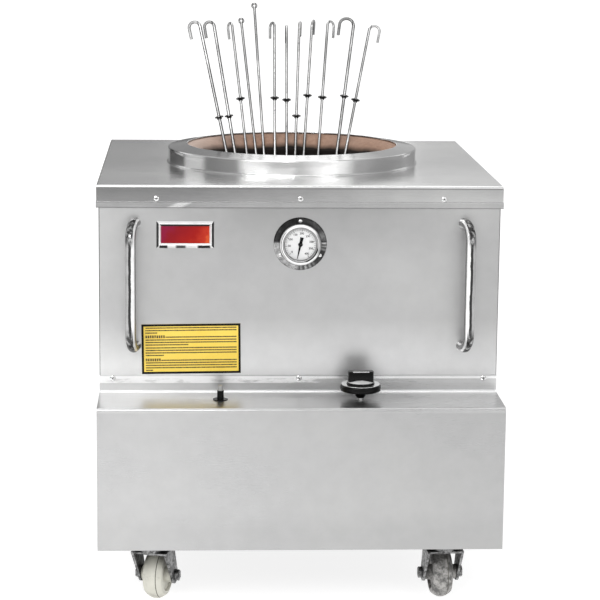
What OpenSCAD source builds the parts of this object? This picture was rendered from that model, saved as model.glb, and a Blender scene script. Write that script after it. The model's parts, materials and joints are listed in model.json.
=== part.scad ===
/* [Cabinet] */
// Width of the cabinet and of the control box in front of it
body_w = 812; // [790:1:850]
// Depth of the cabinet, without the control box
body_d = 812; // [790:1:850]
// Height from the underside of the base to the top of the cover
body_h = 716; // [700:1:740]
// Thickness of the stainless sheet
sheet = 1.5; // [1:0.1:2]
// Outside radius of the folded edges
fold_r = 4; // [3:0.5:5]
// How far the front and rear panels wrap round the corners
corner_wrap = 20; // [12:1:40]

/* [Top cover] */
// How far the cover stands out past the cabinet on each side
cover_over = 5; // [4:0.5:8]
// Height of the cover's skirt
skirt_h = 46; // [40:1:60]
// Height of the hem folded back along the skirt's lower edge
hem_h = 12; // [8:1:16]
// How far the hem stands out from the skirt
hem_step = 0.8; // [0.5:0.1:1.2]

/* [Control box] */
// How far the control box stands out in front of the cabinet
ledge_d = 150; // [140:1:170]
// Height of the ledge above the underside of the base
ledge_h = 291; // [280:1:300]
// Height of the flange that laps up over the front panel
flange_h = 35; // [28:1:45]
// Outside radius of the fold along the ledge's front edge
ledge_r = 6; // [4:0.5:8]
// Width of the lip folded in under the apron
apron_lip = 12; // [8:1:16]

/* [Mouth and pot] */
// Inside diameter of the steel ring round the mouth
ring_id = 456; // [440:1:470]
// Outside diameter of the steel ring
ring_od = 541; // [520:1:560]
// Height of the ring's outer shoulder above the cover
ring_shoulder = 33; // [27:1:36]
// Height of the ring's inner edge above the cover
ring_crown = 39.5; // [37:0.5:44]
// Thickness of the ring's steel
ring_t = 2; // [1.5:0.1:2.5]
// Radius of the ring's outer shoulder
shoulder_r = 3; // [3:0.5:6]
// Radius of the weld bead at the ring's foot
bead_r = 3; // [2:0.5:4]
// Inside diameter of the pot's neck
neck_d = 390; // [370:1:400]
// Inside diameter of the pot's belly
belly_d = 570; // [540:2:590]
// Inside diameter of the pot's foot
foot_d = 430; // [410:2:450]
// Wall of the clay pot
clay_t = 30; // [26:1:34]
// How far the clay rim reaches out under the ring
rim_lap = 10; // [6:1:14]

/* [Base and burner] */
// Height of the base rails
rail_h = 40; // [35:1:50]
// Width of the rails' lower flange
rail_w = 40; // [34:1:50]
// Thickness of the rails
rail_t = 3; // [2.5:0.5:4]
// Height of the burner deck's upper face above the underside of the base
deck_h = 165; // [160:1:175]
// Thickness of the deck plate
deck_t = 3; // [2.5:0.5:4]
// Diameter of the hole in the deck over the burner
deck_hole = 300; // [280:2:320]
// Mean diameter of the burner's ring of ports
burner_d = 196; // [180:2:210]
// Width of the burner's ring casting
burner_w = 46; // [42:1:50]
// Height of the burner's ring casting
burner_t = 22; // [20:1:26]
// Height of the burner's underside above the underside of the base
burner_h = 102; // [98:1:106]
// Number of flame ports
ports = 24; // [12:1:36]
// Diameter of a flame port
port_d = 5; // [4:0.5:6]
// Outside diameter of the burner's mixing tube
venturi_d = 38; // [34:1:42]
// Diameter of the heat deflector over the burner
deflector_d = 356; // [330:2:370]
// Height of the deflector's upper face above the deck
deflector_h = 49; // [44:1:56]
// Thickness of the deflector
deflector_t = 7; // [5:0.5:9]

/* [Gas line] */
// Outside diameter of the gas inlet pipe
pipe_d = 26.7; // [21.3:0.1:33.4]
// How far the inlet pipe stands out behind the cabinet
pipe_out = 40; // [34:1:60]
// Length of the inlet pipe's threaded end
thread_l = 20; // [15:1:25]
// Distance of the inlet pipe from the middle of the oven
pipe_x = 250; // [200:1:270]
// Outside diameter of the tube to the burner
tube_d = 16; // [12:0.5:18]
// Outside diameter of the orifice spud
spud_d = 14; // [12:0.5:15]
// Width of the valve body
valve_w = 48; // [44:1:56]
// Diameter of the valve stem
stem_d = 10; // [8:0.5:12]
// Push travel of the valve stem
stem_push = 3; // [2:0.5:3.5]

/* [Knob and igniter] */
// Distance of the valve knob to the right of the middle
knob_x = 121; // [100:1:150]
// Distance of the knob and the igniter in front of the cabinet's front
control_y = 72; // [62:1:84]
// Diameter of the knob's base
knob_d = 82; // [70:1:90]
// Height of the cone that carries the knob's base
cone_h = 15; // [10:1:18]
// Height of the knob's base
knob_base_h = 13; // [11:1:16]
// Length of the knob's bar grip
bar_l = 52; // [44:1:60]
// Thickness of the knob's bar grip
bar_t = 22; // [18:1:26]
// Height of the bar grip above the knob's base
bar_h = 27; // [22:1:32]
// Distance of the igniter to the left of the middle
igniter_x = 161; // [140:1:190]
// Diameter of the igniter's flange
igniter_flange_d = 30; // [26:1:34]
// Diameter of the igniter's threaded barrel
igniter_d = 18; // [16:0.5:20]
// Diameter of the collar round the igniter's button
collar_d = 13.6; // [12.5:0.1:15]
// Height of the collar above the ledge
collar_h = 19; // [16:1:22]
// Diameter of the igniter's button
button_d = 10; // [8:0.2:10.5]
// How far the igniter's button stands out of its collar
button_out = 10; // [9:0.5:12]
// Travel of the igniter's button
button_push = 6; // [4:0.5:7]

/* [Thermometer] */
// Drop of the thermometer's centre below the top
thermo_drop = 119; // [110:1:136]
// Diameter of the mounting flange
thermo_flange_d = 108; // [100:1:116]
// Diameter of the bezel
bezel_d = 85; // [78:1:88]
// How far the bezel stands out from the flange
bezel_out = 17; // [14:1:22]
// Diameter of the dial
dial_d = 70; // [64:1:72]
// Diameter of the probe
probe_d = 8; // [6:0.5:10]
// How far the probe reaches into the pot
probe_in = 25; // [10:1:40]

/* [Handles and plates] */
// Diameter of the handles' bar
handle_d = 21; // [16:0.5:22]
// Overall height of a handle
handle_h = 274; // [240:1:300]
// How far a handle stands out from the panel
handle_out = 58; // [50:1:66]
// Radius of a handle's bends along the middle of the bar
handle_bend = 34; // [28:1:36]
// Angle at which the handles splay outward
handle_splay = 11; // [0:1:25]
// Distance of a handle's feet from the cabinet's side
handle_in = 74; // [68:1:106]
// Height of a handle's middle above the underside of the base
handle_mid = 513; // [500:1:525]
// Width of the badge
badge_w = 116; // [100:1:130]
// Height of the badge
badge_h = 55; // [48:1:62]
// Width of the badge's bevelled border
badge_border = 9; // [7:0.5:12]
// Distance between the badge and the left handle's middle
badge_gap = 42; // [28:1:56]
// Height of the badge's centre above the underside of the base
badge_mid = 615; // [600:1:625]
// Width of the yellow notice plate
notice_w = 201; // [180:1:210]
// Height of the yellow notice plate
notice_h = 103; // [90:1:110]
// Distance between the notice plate and the left handle's foot
notice_gap = 1; // [0.8:0.1:12]
// Distance of the notice plate above the control box's flange
notice_rise = 3; // [2.8:0.1:8]
// Tilt of the notice plate
notice_tilt = 0.7; // [0:0.1:1.5]

/* [Fasteners] */
// Diameter of a cabinet screw's head
screw_head_d = 12; // [10:0.5:14]
// Diameter of a cabinet screw's shank
screw_d = 4.8; // [4:0.2:6]
// Length of a cabinet screw's shank
screw_l = 10; // [9:0.5:14]
// Distance of the outer cover screws from the cabinet's corners
cover_screw_in = 116; // [96:1:146]
// Distance of the cover screws below the top of the cover
cover_screw_drop = 27; // [20:1:30]
// Distance of the outer flange screws from the cabinet's sides
flange_screw_in = 27; // [21:1:56]

/* [Casters] */
// Height of a caster from the floor to its mounting face
caster_h = 138; // [134:1:146]
// Diameter of a caster wheel
wheel_d = 102; // [96:1:106]
// Width of a caster wheel's tread
wheel_w = 43; // [38:1:50]
// Distance that a wheel trails behind its swivel axis
trail = 36; // [30:1:42]
// Length and width of a caster plate
plate_l = 100; // [90:1:110]
// Distance between the bolt centres of a caster plate
plate_bolts = 76; // [68:1:80]
// Diameter of a caster axle
axle_d = 12; // [10:0.5:14]
// Diameter of a caster kingpin
kingpin_d = 14; // [12:0.5:16]
// Distance of the swivel axes from the sides
caster_in_x = 108; // [98:1:120]
// Distance of the swivel axes from the front and the back
caster_in_y = 92; // [80:1:104]

/* [Skewers] */
// Diameter of a thin skewer
thin_d = 6; // [5:0.2:6.4]
// Diameter of a thick skewer
thick_d = 7; // [6:0.2:7.4]
// Diameter of a skewer's stop disc
disc_d = 20; // [16:0.5:22]
// Length of a hook's straight end
hook_tail = 25; // [16:1:28]
// Diameter of a skewer's eye along the middle of the rod
eye_d = 10; // [8:0.5:12]

/* [Hidden] */
SKEWERS = 12;

$fn = 64;
// Gap between still pieces that touch
seat = 0.3;
// Radial gap of a part that turns or slides in a bore
run = 0.05;
// Radial gap round a fastener or a probe in its hole
clear = 0.1;
// Overlap that makes cuts clean
cut = 1;

base_z = caster_h;
top_z = base_z + body_h;
under_cover = top_z - sheet;
ledge_z = base_z + ledge_h;
flange_top = ledge_z + flange_h;
face_y = -body_d / 2;
apron_y = face_y - ledge_d;
back_y = body_d / 2;
side_x = body_w / 2;
handle_x = side_x - handle_in;
skirt_z = top_z - skirt_h;
// The origin lies under the middle of the outline, from the apron to the inlet pipe's end
shift_y = (ledge_d - pipe_out) / 2;

deck_z = base_z + deck_h;
burner_z = base_z + burner_h;
burner_mid = burner_z + burner_t / 2;
port_r = burner_d / 2;
deflector_z = deck_z + deflector_h;
control_pos = face_y - control_y;
thermo_z = top_z - thermo_drop;
ring_in = ring_id / 2;
ring_out = ring_od / 2;
neck_r = neck_d / 2;

// Points along an arc of radius r round c, from angle a to angle b
function arc(c, r, a, b, n = 6) =
    [for (i = [0:n]) [c[0] + r * cos(a + (b - a) * i / n), c[1] + r * sin(a + (b - a) * i / n)]];

// Outline of a centred rectangle with round corners
function round_rect(w, d, r) = concat(
    arc([w / 2 - r, d / 2 - r], r, 0, 90),
    arc([r - w / 2, d / 2 - r], r, 90, 180),
    arc([r - w / 2, r - d / 2], r, 180, 270),
    arc([w / 2 - r, r - d / 2], r, 270, 360));

// A cylinder along Y from y0 to y1
module rod_y(x, z, y0, y1, r) {
    translate([x, y0, z]) rotate([-90, 0, 0]) cylinder(h = y1 - y0, r = r);
}

// A cylinder along X from x0 to x1
module rod_x(y, z, x0, x1, r) {
    translate([x0, y, z]) rotate([0, 90, 0]) cylinder(h = x1 - x0, r = r);
}

// A screw with a domed head, its head's underside at the origin and its shank along -Z
module dome_screw(head, shank, len) {
    dome = head / 5;
    translate([0, 0, -len]) cylinder(h = len, r = shank / 2);
    rotate_extrude() polygon(concat([[0, 0], [head / 2, 0]],
        [for (a = [15:15:90]) [head / 2 * cos(a), dome * sin(a)]]));
}

// Cabinet

// Half outline of the cover's skirt and fold at half width h, drawn in by t
function cover_side(h, t) = concat(
    t > 0 ? [[h - hem_step - t, skirt_z - cut]]
          : [[h, skirt_z], [h, skirt_z + hem_h], [h - hem_step, skirt_z + hem_h + hem_step]],
    arc([h - hem_step - fold_r, top_z - fold_r], fold_r - t, 0, 90));

function mirrored(p) = [for (i = [len(p) - 1:-1:0]) [-p[i][0], p[i][1]]];

// The cover's solid, drawn in by t on every face
module cover_block(t) {
    w = body_w + 2 * cover_over;
    d = body_d + 2 * cover_over;
    across = cover_side(w / 2, t);
    along = cover_side(d / 2, t);
    intersection() {
        translate([0, d, 0]) rotate([90, 0, 0])
            linear_extrude(2 * d) polygon(concat(across, mirrored(across)));
        translate([-w, 0, 0]) rotate([90, 0, 90])
            linear_extrude(2 * w) polygon(concat(along, mirrored(along)));
    }
}

module top_cover() {
    color("silver") difference() {
        cover_block(0);
        cover_block(sheet);
        translate([0, 0, skirt_z]) cylinder(h = skirt_h + cut, r = ring_in + rim_lap + cut);
        cover_screw_holes();
    }
}

// Three screws along each side of the cover's skirt
module on_cover_screws() {
    for (turn = [0, 90, 180, 270], i = [-1, 0, 1]) {
        along = (turn % 180 == 0 ? body_w : body_d) / 2;
        out = (turn % 180 == 0 ? body_d : body_w) / 2;
        rotate([0, 0, turn])
            translate([i * (along - cover_screw_in), -out - cover_over + hem_step,
                       top_z - cover_screw_drop])
                rotate([90, 0, 0]) children();
    }
}

module on_flange_screws() {
    for (x = [-1, 0, 1])
        translate([x * (side_x - flange_screw_in), face_y - sheet, ledge_z + flange_h * 0.8])
            rotate([90, 0, 0]) children();
}

module screw_hole() {
    translate([0, 0, -screw_l - cut]) cylinder(h = screw_l + 2 * cut, r = screw_d / 2 + clear);
}

module cover_screw_holes() {
    on_cover_screws() screw_hole();
}

module cabinet_screws() {
    color("gainsboro") {
        on_cover_screws() dome_screw(screw_head_d, screw_d, screw_l);
        on_flange_screws() dome_screw(screw_head_d, screw_d, screw_l);
    }
}

// A wrapped panel from the base to the cover, its face on the front
module wrapped_panel() {
    translate([0, 0, base_z]) linear_extrude(under_cover - base_z) difference() {
        polygon(round_rect(body_w, body_d, fold_r));
        polygon(round_rect(body_w - 2 * sheet, body_d - 2 * sheet, fold_r - sheet));
        translate([-body_w, face_y + corner_wrap]) square([2 * body_w, 2 * body_d]);
    }
}

// Opening behind the control box for the burner's tube, pipe and leads
service_w = body_w - 212;
service_z0 = base_z + 1.5 * rail_h;
service_z1 = deck_z - deck_t;

module front_panel() {
    color("silver") difference() {
        wrapped_panel();
        translate([-service_w / 2, face_y - cut, service_z0])
            cube([service_w, corner_wrap, service_z1 - service_z0]);
        translate([sheet - side_x, face_y - cut, base_z - cut])
            cube([body_w - 2 * sheet, corner_wrap + 2 * cut, rail_h + seat + cut]);
        rod_y(0, thermo_z, face_y - cut, face_y + corner_wrap, probe_d / 2 + clear);
        on_thermometer_screws() cylinder(h = 2 * screw_l, r = screw_d / 2 + clear, center = true);
        cover_screw_holes();
        on_flange_screws() screw_hole();
    }
}

// Vent slots low in the rear panel
vent_rows = 4;
vent_w = 160;
vent_h = 8;
vent_pitch = 22;

module rear_panel() {
    color("silver") difference() {
        rotate([0, 0, 180]) wrapped_panel();
        rod_y(pipe_x, pipe_z, back_y - corner_wrap, back_y + cut, pipe_d / 2 + seat);
        for (x = [-1, 0], row = [1:vent_rows])
            translate([x * (vent_w + rail_w) - vent_w / 2, back_y - corner_wrap,
                       deck_z - rail_h - row * vent_pitch])
                cube([vent_w, corner_wrap + cut, vent_h]);
        cover_screw_holes();
    }
}

// A side panel lies inside the wraps of the front and rear panels
module side_panel(side) {
    color("silver") difference() {
        translate([side * (side_x - 1.5 * sheet) - sheet / 2, face_y + fold_r, base_z])
            cube([sheet, body_d - 2 * fold_r, under_cover - base_z]);
        cover_screw_holes();
    }
}

// Flange, ledge and apron in one folded sheet, seen from the right
function box_outline(t) = concat(
    [[face_y - (t > 0 ? 0 : sheet), flange_top], [face_y - (t > 0 ? 0 : sheet), ledge_z - t]],
    arc([apron_y + ledge_r, ledge_z - ledge_r], ledge_r - t, 90, 180),
    [[apron_y + t, base_z + t], [apron_y + apron_lip, base_z + t]]);

module control_box_cover() {
    outer = box_outline(0);
    inner = box_outline(sheet);
    n = len(inner);
    color("silver") difference() {
        union() {
            translate([-side_x, 0, 0]) rotate([90, 0, 90]) linear_extrude(body_w)
                polygon(concat(outer, [for (i = [1:n]) inner[n - i]]));
            for (x = [-side_x, side_x - sheet])
                translate([x, 0, 0]) rotate([90, 0, 90]) linear_extrude(sheet)
                    polygon(concat([[face_y, base_z], [face_y, ledge_z - sheet / 2]],
                        arc([apron_y + ledge_r, ledge_z - ledge_r], ledge_r - sheet / 2, 90, 180),
                        [[apron_y + sheet / 2, base_z]]));
        }
        translate([knob_x, control_pos, ledge_z - 2 * sheet])
            cylinder(h = 4 * sheet, r = stem_d / 2 + 1);
        translate([-igniter_x, control_pos, ledge_z - 2 * sheet])
            cylinder(h = 4 * sheet, r = igniter_d / 2 + clear);
        on_flange_screws() screw_hole();
    }
}

// Handles

// A D-shaped bar in the XZ plane, standing out along +X, its feet past x = 0
module handle_bar() {
    r = handle_d / 2;
    reach = handle_out - r;
    half = handle_h / 2 - r;
    translate([reach, 0, -half + handle_bend]) cylinder(h = 2 * (half - handle_bend), r = r);
    for (s = [-1, 1]) {
        translate([0, 0, s * half]) rotate([0, 90, 0])
            translate([0, 0, -handle_d]) cylinder(h = handle_d + reach - handle_bend, r = r);
        translate([reach - handle_bend, 0, s * (half - handle_bend)]) rotate([90, 0, 0])
            rotate_extrude(angle = s * 90) translate([handle_bend, 0]) circle(r = r);
    }
}

module handle(side) {
    color("gainsboro") difference() {
        translate([side * handle_x, face_y, base_z + handle_mid])
            rotate([0, 0, -90 + side * handle_splay]) handle_bar();
        translate([-body_w, face_y, base_z]) cube([2 * body_w, 2 * handle_out, body_h]);
    }
}

// Mouth ring and clay pot

// Underside of the ring's crown at radius r
function crown_under(r) = top_z + ring_shoulder - ring_t
    + (ring_crown - ring_shoulder) * (ring_out - shoulder_r - r) / (ring_out - shoulder_r - ring_in);

module mouth_ring() {
    zs = top_z + ring_shoulder;
    zc = top_z + ring_crown;
    color("silver") rotate_extrude($fn = 128) polygon(concat(
        [[ring_out - ring_t, top_z]],
        arc([ring_out, top_z], bead_r, 0, 90),
        arc([ring_out - shoulder_r, zs - shoulder_r], shoulder_r, 0, 80),
        [[ring_in + ring_t / 2, zc], [ring_in, zc - ring_t / 2], [ring_in, zc - ring_t]],
        arc([ring_out - shoulder_r, zs - shoulder_r], shoulder_r - ring_t, 80, 0)));
}

// Clay rim just under the ring's inner edge
rim_top = crown_under(ring_in + rim_lap) - seat;
rim_round = (ring_in - neck_r) / 2;
neck_z = rim_top - 2 * rim_round;
belly_z = deck_z + 0.4 * (rim_top - deck_z);

// The pot's inside from the foot up to the rim, as radius and height
function pot_inside() = [
    [foot_d / 2, deck_z],
    [(foot_d + belly_d) / 4 + clay_t / 3, deck_z + 0.5 * (belly_z - deck_z)],
    [belly_d / 2, belly_z],
    [belly_d / 2 - clay_t / 4, belly_z + 0.35 * (neck_z - belly_z)],
    [(neck_r + belly_d / 2) / 2, belly_z + 0.75 * (neck_z - belly_z)],
    [neck_r, neck_z]];

// The pot's outside from the rim down to the foot, grown by g
function pot_outside(g) = [
    [ring_in + rim_lap + g, rim_top],
    [ring_in + rim_lap + g, neck_z - clay_t],
    [(neck_r + belly_d / 2) / 2 + clay_t + g, belly_z + 0.75 * (neck_z - belly_z)],
    [belly_d / 2 + 0.8 * clay_t + g, belly_z + 0.35 * (neck_z - belly_z)],
    [belly_d / 2 + clay_t + g, belly_z],
    [foot_d / 2 + clay_t + g, deck_z]];

module clay_pot() {
    color("rosybrown") difference() {
        rotate_extrude($fn = 128) polygon(concat(pot_inside(),
            arc([neck_r + 2 * rim_round, neck_z], 2 * rim_round, 170, 100),
            [[ring_in, rim_top]], pot_outside(0)));
        rod_y(0, thermo_z, face_y, 0, probe_d / 2 + clear);
    }
}

module insulation() {
    w = body_w - 4 * sheet - 2 * seat;
    d = body_d - 2 * sheet - 2 * seat;
    z = under_cover - seat;
    top = [ring_in + rim_lap + seat, z + cut];
    color("khaki") difference() {
        translate([-w / 2, -d / 2, deck_z]) cube([w, d, z - deck_z]);
        rotate_extrude($fn = 128) polygon(concat([[0, deck_z - cut], [0, z + cut], top],
            [for (i = [1:5]) pot_outside(seat)[i]],
            [[foot_d / 2 + clay_t + seat, deck_z - cut]]));
        rod_y(0, thermo_z, face_y, 0, probe_d / 2 + clear);
        on_cover_screws() screw_pocket();
        on_flange_screws() screw_pocket();
        on_thermometer_screws() screw_pocket();
    }
}

// Room for the end of a screw
module screw_pocket() {
    translate([0, 0, -2 * screw_l]) cylinder(h = 2 * screw_l, r = screw_d);
}

// Base, deck and burner

// A frame of angle rails round the footprint, with flat crossbars and caster plates
module base_frame() {
    x1 = side_x - 2 * sheet;
    y0 = apron_y + apron_lip + seat;
    y1 = back_y - sheet - seat;
    color("dimgray") difference() {
        union() {
            difference() {
                translate([-x1, y0, base_z]) cube([2 * x1, y1 - y0, rail_h]);
                translate([-x1 + rail_t, y0 + rail_t, base_z + rail_t])
                    cube([2 * (x1 - rail_t), y1 - y0 - 2 * rail_t, rail_h]);
                translate([-x1 + rail_w, y0 + rail_w, base_z - cut])
                    cube([2 * (x1 - rail_w), y1 - y0 - 2 * rail_w, rail_h]);
            }
            for (s = [-1, 1])
                translate([-x1 + rail_t / 2, s * foot_y - rail_w / 2, base_z + rail_h - cross_t])
                    cube([2 * x1 - rail_t, rail_w, cross_t]);
            for (c = [0:3])
                translate([caster_x(c) - gusset / 2, caster_y(c) - gusset / 2, base_z])
                    cube([gusset, gusset, rail_t]);
        }
        on_caster_bolts() cylinder(h = 4 * rail_t, r = bolt_d / 2 + clear, center = true);
    }
}

// Thickness of the crossbars that carry the burner
cross_t = 6;
// Room for a caster's plate on the base
gusset = plate_l + 40;
// Distance of the burner's feet from the middle, front to back
foot_y = port_r * sin(60);
foot_x = port_r * cos(60);

module burner_deck() {
    x1 = side_x - 2 * sheet - seat;
    y1 = back_y - sheet - seat;
    post = rail_w - rail_t;
    color("gray") {
        difference() {
            translate([-x1, -y1, deck_z - deck_t]) cube([2 * x1, 2 * y1, deck_t]);
            translate([0, 0, deck_z - rail_h]) cylinder(h = 2 * rail_h, r = deck_hole / 2);
        }
        for (sx = [-1, 1], sy = [-1, 1])
            translate([sx * (x1 - rail_t - post / 2), sy * (y1 - rail_t - post / 2), 0])
                translate([-post / 2, -post / 2, 0]) difference() {
                    translate([0, 0, base_z + rail_t]) cube([post, post, deck_h - deck_t - rail_t]);
                    translate([sx > 0 ? -cut : rail_t, sy > 0 ? -cut : rail_t, base_z])
                        cube([post - rail_t + cut, post - rail_t + cut, deck_h - deck_t]);
                }
    }
}

module burner() {
    r0 = port_r - burner_w / 2;
    r1 = port_r + burner_w / 2;
    wall = 4;
    tube_end = -burner_reach;
    color("dimgray") difference() {
        union() {
            rotate_extrude($fn = 96) translate([r0, burner_z]) square([burner_w, burner_t]);
            rod_y(0, burner_mid, tube_end, -r0 - burner_w / 2, venturi_d / 2);
            for (sx = [-1, 1], sy = [-1, 1])
                translate([sx * foot_x, sy * foot_y, base_z + rail_h])
                    cylinder(h = burner_z - base_z - rail_h + wall, r = 8);
        }
        rotate_extrude($fn = 96) translate([r0 + wall, burner_z + wall])
            square([burner_w - 2 * wall, burner_t - 2 * wall]);
        rod_y(0, burner_mid, tube_end - cut, -r1 + 2 * wall, venturi_d / 2 - wall);
        for (i = [0:ports - 1]) rotate([0, 0, (i + 0.5) * 360 / ports])
            translate([port_r, 0, burner_z + burner_t / 2]) cylinder(h = burner_t, r = port_d / 2);
    }
}

// Distance of the mixing tube's open end from the middle
burner_reach = 310;
shutter_t = 2;
spud_end = -burner_reach + 12;

// A disc with two air windows that turns on the spud in front of the mixing tube
module air_shutter() {
    r = venturi_d / 2;
    color("silver") translate([0, -burner_reach - seat - shutter_t, burner_mid]) rotate([-90, 0, 0])
        difference() {
            cylinder(h = shutter_t, r = r + 3);
            translate([0, 0, -cut]) cylinder(h = shutter_t + 2 * cut, r = spud_d / 2 + run);
            for (turn = [0, 180]) rotate([0, 0, turn]) translate([0, 0, -cut])
                linear_extrude(shutter_t + 2 * cut)
                    polygon(concat(arc([0, 0], r - 2, -35, 35), arc([0, 0], spud_d / 2 + 3, 35, -35)));
        }
}

module heat_deflector() {
    leg_r = 6;
    color("dimgray") {
        translate([0, 0, deflector_z - deflector_t]) cylinder(h = deflector_t, r = deflector_d / 2);
        for (turn = [45:90:315]) rotate([0, 0, turn])
            translate([(deck_hole + deflector_d) / 4, 0, deck_z])
                cylinder(h = deflector_h - deflector_t / 2, r = leg_r);
    }
}

// Gas line

pipe_z = service_z0 + pipe_d / 2 + 5;
valve_z0 = ledge_z - 77;
valve_z1 = ledge_z - 25;
tube_z = (valve_z0 + valve_z1) / 2;

module gas_inlet_pipe() {
    r = pipe_d / 2;
    color("black") {
        rod_y(pipe_x, pipe_z, control_pos, back_y + pipe_out - thread_l, r);
        rod_y(pipe_x, pipe_z, back_y, back_y + pipe_out, r - 0.4);
        rod_x(control_pos, pipe_z, knob_x, pipe_x, r);
        translate([knob_x, control_pos, pipe_z]) cylinder(h = valve_z0 - pipe_z, r = r);
        for (x = [knob_x, pipe_x]) translate([x, control_pos, pipe_z]) sphere(r = r + 4);
    }
}

module gas_valve_body() {
    color("peru") difference() {
        union() {
            translate([knob_x - valve_w / 2, control_pos - 20, valve_z0])
                cube([valve_w, 40, valve_z1 - valve_z0]);
            translate([knob_x, control_pos, valve_z1 - cut])
                cylinder(h = ledge_z - sheet - valve_z1 + cut, r = stem_d / 2 + 8);
        }
        translate([knob_x, control_pos, stem_bottom - stem_push - seat])
            cylinder(h = ledge_z, r = stem_d / 2 + run);
    }
}

stem_bottom = ledge_z - 44;
knob_z = ledge_z + stem_push + 1;
base_top = knob_z + cone_h + knob_base_h;
stem_top = base_top + bar_h / 2;

module valve_stem() {
    color("silver") translate([knob_x, control_pos, stem_bottom])
        cylinder(h = stem_top - stem_bottom, r = stem_d / 2);
}

module gas_manifold() {
    r = tube_d / 2;
    color("silver") {
        rod_x(control_pos, tube_z, 0, knob_x - valve_w / 2, r);
        translate([0, control_pos, burner_mid]) cylinder(h = tube_z - burner_mid, r = r);
        rod_y(0, burner_mid, control_pos, -burner_reach - 20, r);
        rod_y(0, burner_mid, -burner_reach - 20, spud_end, spud_d / 2);
        for (z = [tube_z, burner_mid]) translate([0, control_pos, z]) sphere(r = r + 3);
    }
}

// Angle of the pilot on the burner's rim, clear of the mixing tube
pilot_turn = -55;
pilot_r = port_r + burner_w / 2;

module at_pilot() {
    rotate([0, 0, pilot_turn]) translate([pilot_r, 0, burner_z]) children();
}

module pilot_burner() {
    color("silver") at_pilot() difference() {
        union() {
            translate([0, -14, 4]) cube([26, 28, 3]);
            translate([0, -14, 0]) cube([3, 28, 7]);
            translate([9, -7, 4]) cylinder(h = burner_t, r = 4);
        }
        for (y = [-7, 7]) translate([18, y, 0]) cylinder(h = burner_t, r = 3 + clear);
    }
}

// A tube of 8 sides along the points of a route
function unit(v) = v / norm(v);
function tangent(p, i) = unit(p[min(i + 1, len(p) - 1)] - p[max(i - 1, 0)]);
function side_axis(t) = unit(cross(t, abs(t[2]) > 0.9 ? [1, 0, 0] : [0, 0, 1]));
function smooth(p, n) = [for (i = [0:len(p) - 2], j = [0:n - 1])
    let (a = p[max(i - 1, 0)], b = p[i], c = p[i + 1], d = p[min(i + 2, len(p) - 1)], t = j / n)
    0.5 * (2 * b + (c - a) * t + (2 * a - 5 * b + 4 * c - d) * t * t
        + (3 * b - a - 3 * c + d) * t * t * t)];

module route_tube(route, d, sides = 8) {
    p = concat(smooth(route, 5), [route[len(route) - 1]]);
    n = len(p);
    rings = [for (i = [0:n - 1], k = [0:sides - 1])
        let (t = tangent(p, i), u = side_axis(t), v = cross(t, u), a = 360 * k / sides)
        p[i] + d / 2 * (cos(a) * u + sin(a) * v)];
    walls = [for (i = [0:n - 2], k = [0:sides - 1])
        let (a = i * sides + k, b = i * sides + (k + 1) % sides)
        [a, a + sides, b + sides, b]];
    tris = [for (w = walls, h = [0, 1]) h == 0 ? [w[0], w[1], w[2]] : [w[0], w[2], w[3]]];
    first = [for (k = [1:sides - 2]) [0, k, k + 1]];
    last = [for (k = [1:sides - 2]) [(n - 1) * sides, (n - 1) * sides + k + 1, (n - 1) * sides + k]];
    polyhedron(points = rings, faces = concat(tris, first, last));
}

// Where the leads meet the pilot, in the oven's own axes
function pilot_point(x, y) = [
    (pilot_r + x) * cos(pilot_turn) - y * sin(pilot_turn),
    (pilot_r + x) * sin(pilot_turn) + y * cos(pilot_turn)];
electrode_at = pilot_point(18, -7);
couple_at = pilot_point(18, 7);
igniter_bottom = ledge_z - 69;

// The spark lead with the electrode at its end
module igniter_lead() {
    low = burner_z - 20;
    color("firebrick") {
        route_tube([
            [-igniter_x, control_pos, igniter_bottom - seat],
            [-igniter_x, control_pos, igniter_bottom - 30],
            [-150, control_pos + 50, igniter_bottom - 80],
            [-90, control_pos + 120, low + 10],
            [40, -270, low],
            [electrode_at[0] - 6, electrode_at[1] - 30, low],
            [electrode_at[0], electrode_at[1], low + 12]], 5);
        translate([electrode_at[0], electrode_at[1], low + 12]) cylinder(h = 22, r = 3);
        translate([electrode_at[0], electrode_at[1], low + 34]) cylinder(h = 10, r = 1.2);
    }
}

// The thermocouple and its lead to the valve's safety magnet
module thermocouple_lead() {
    low = burner_z - 22;
    color("orange") {
        route_tube([
            [knob_x + 12, control_pos + 16, valve_z0 - seat],
            [knob_x + 12, control_pos + 18, valve_z0 - 30],
            [knob_x + 10, control_pos + 60, valve_z0 - 60],
            [couple_at[0] + 20, -230, low],
            [couple_at[0] + 6, couple_at[1] - 30, low],
            [couple_at[0], couple_at[1], low + 12]], 4);
        translate([couple_at[0], couple_at[1], low + 12]) cylinder(h = 34, r = 3);
    }
}

// Igniter

module igniter_body() {
    r = igniter_d / 2;
    color("black") translate([-igniter_x, control_pos, 0]) difference() {
        union() {
            translate([0, 0, igniter_bottom]) cylinder(h = ledge_z - igniter_bottom, r = r);
            translate([0, 0, ledge_z]) cylinder(h = 1.6, r = igniter_flange_d / 2);
            translate([0, 0, ledge_z]) cylinder(h = collar_h, r = collar_d / 2);
        }
        translate([0, 0, button_z - button_push - seat])
            cylinder(h = 2 * collar_h + button_push, r = button_d / 2 + run);
    }
}

button_z = ledge_z - 4;

module igniter_button() {
    top = ledge_z + collar_h + button_out;
    color("dimgray") translate([-igniter_x, control_pos, button_z]) {
        cylinder(h = top - 1 - button_z, r = button_d / 2);
        translate([0, 0, top - 1 - button_z]) cylinder(h = 1, r1 = button_d / 2, r2 = button_d / 2 - 1);
    }
}

module igniter_nut() {
    color("gray") translate([-igniter_x, control_pos, ledge_z - sheet - 6]) difference() {
        cylinder(h = 6, r = igniter_flange_d / 2, $fn = 6);
        translate([0, 0, -cut]) cylinder(h = 8, r = igniter_d / 2 + clear);
    }
}

// Knob

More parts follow.
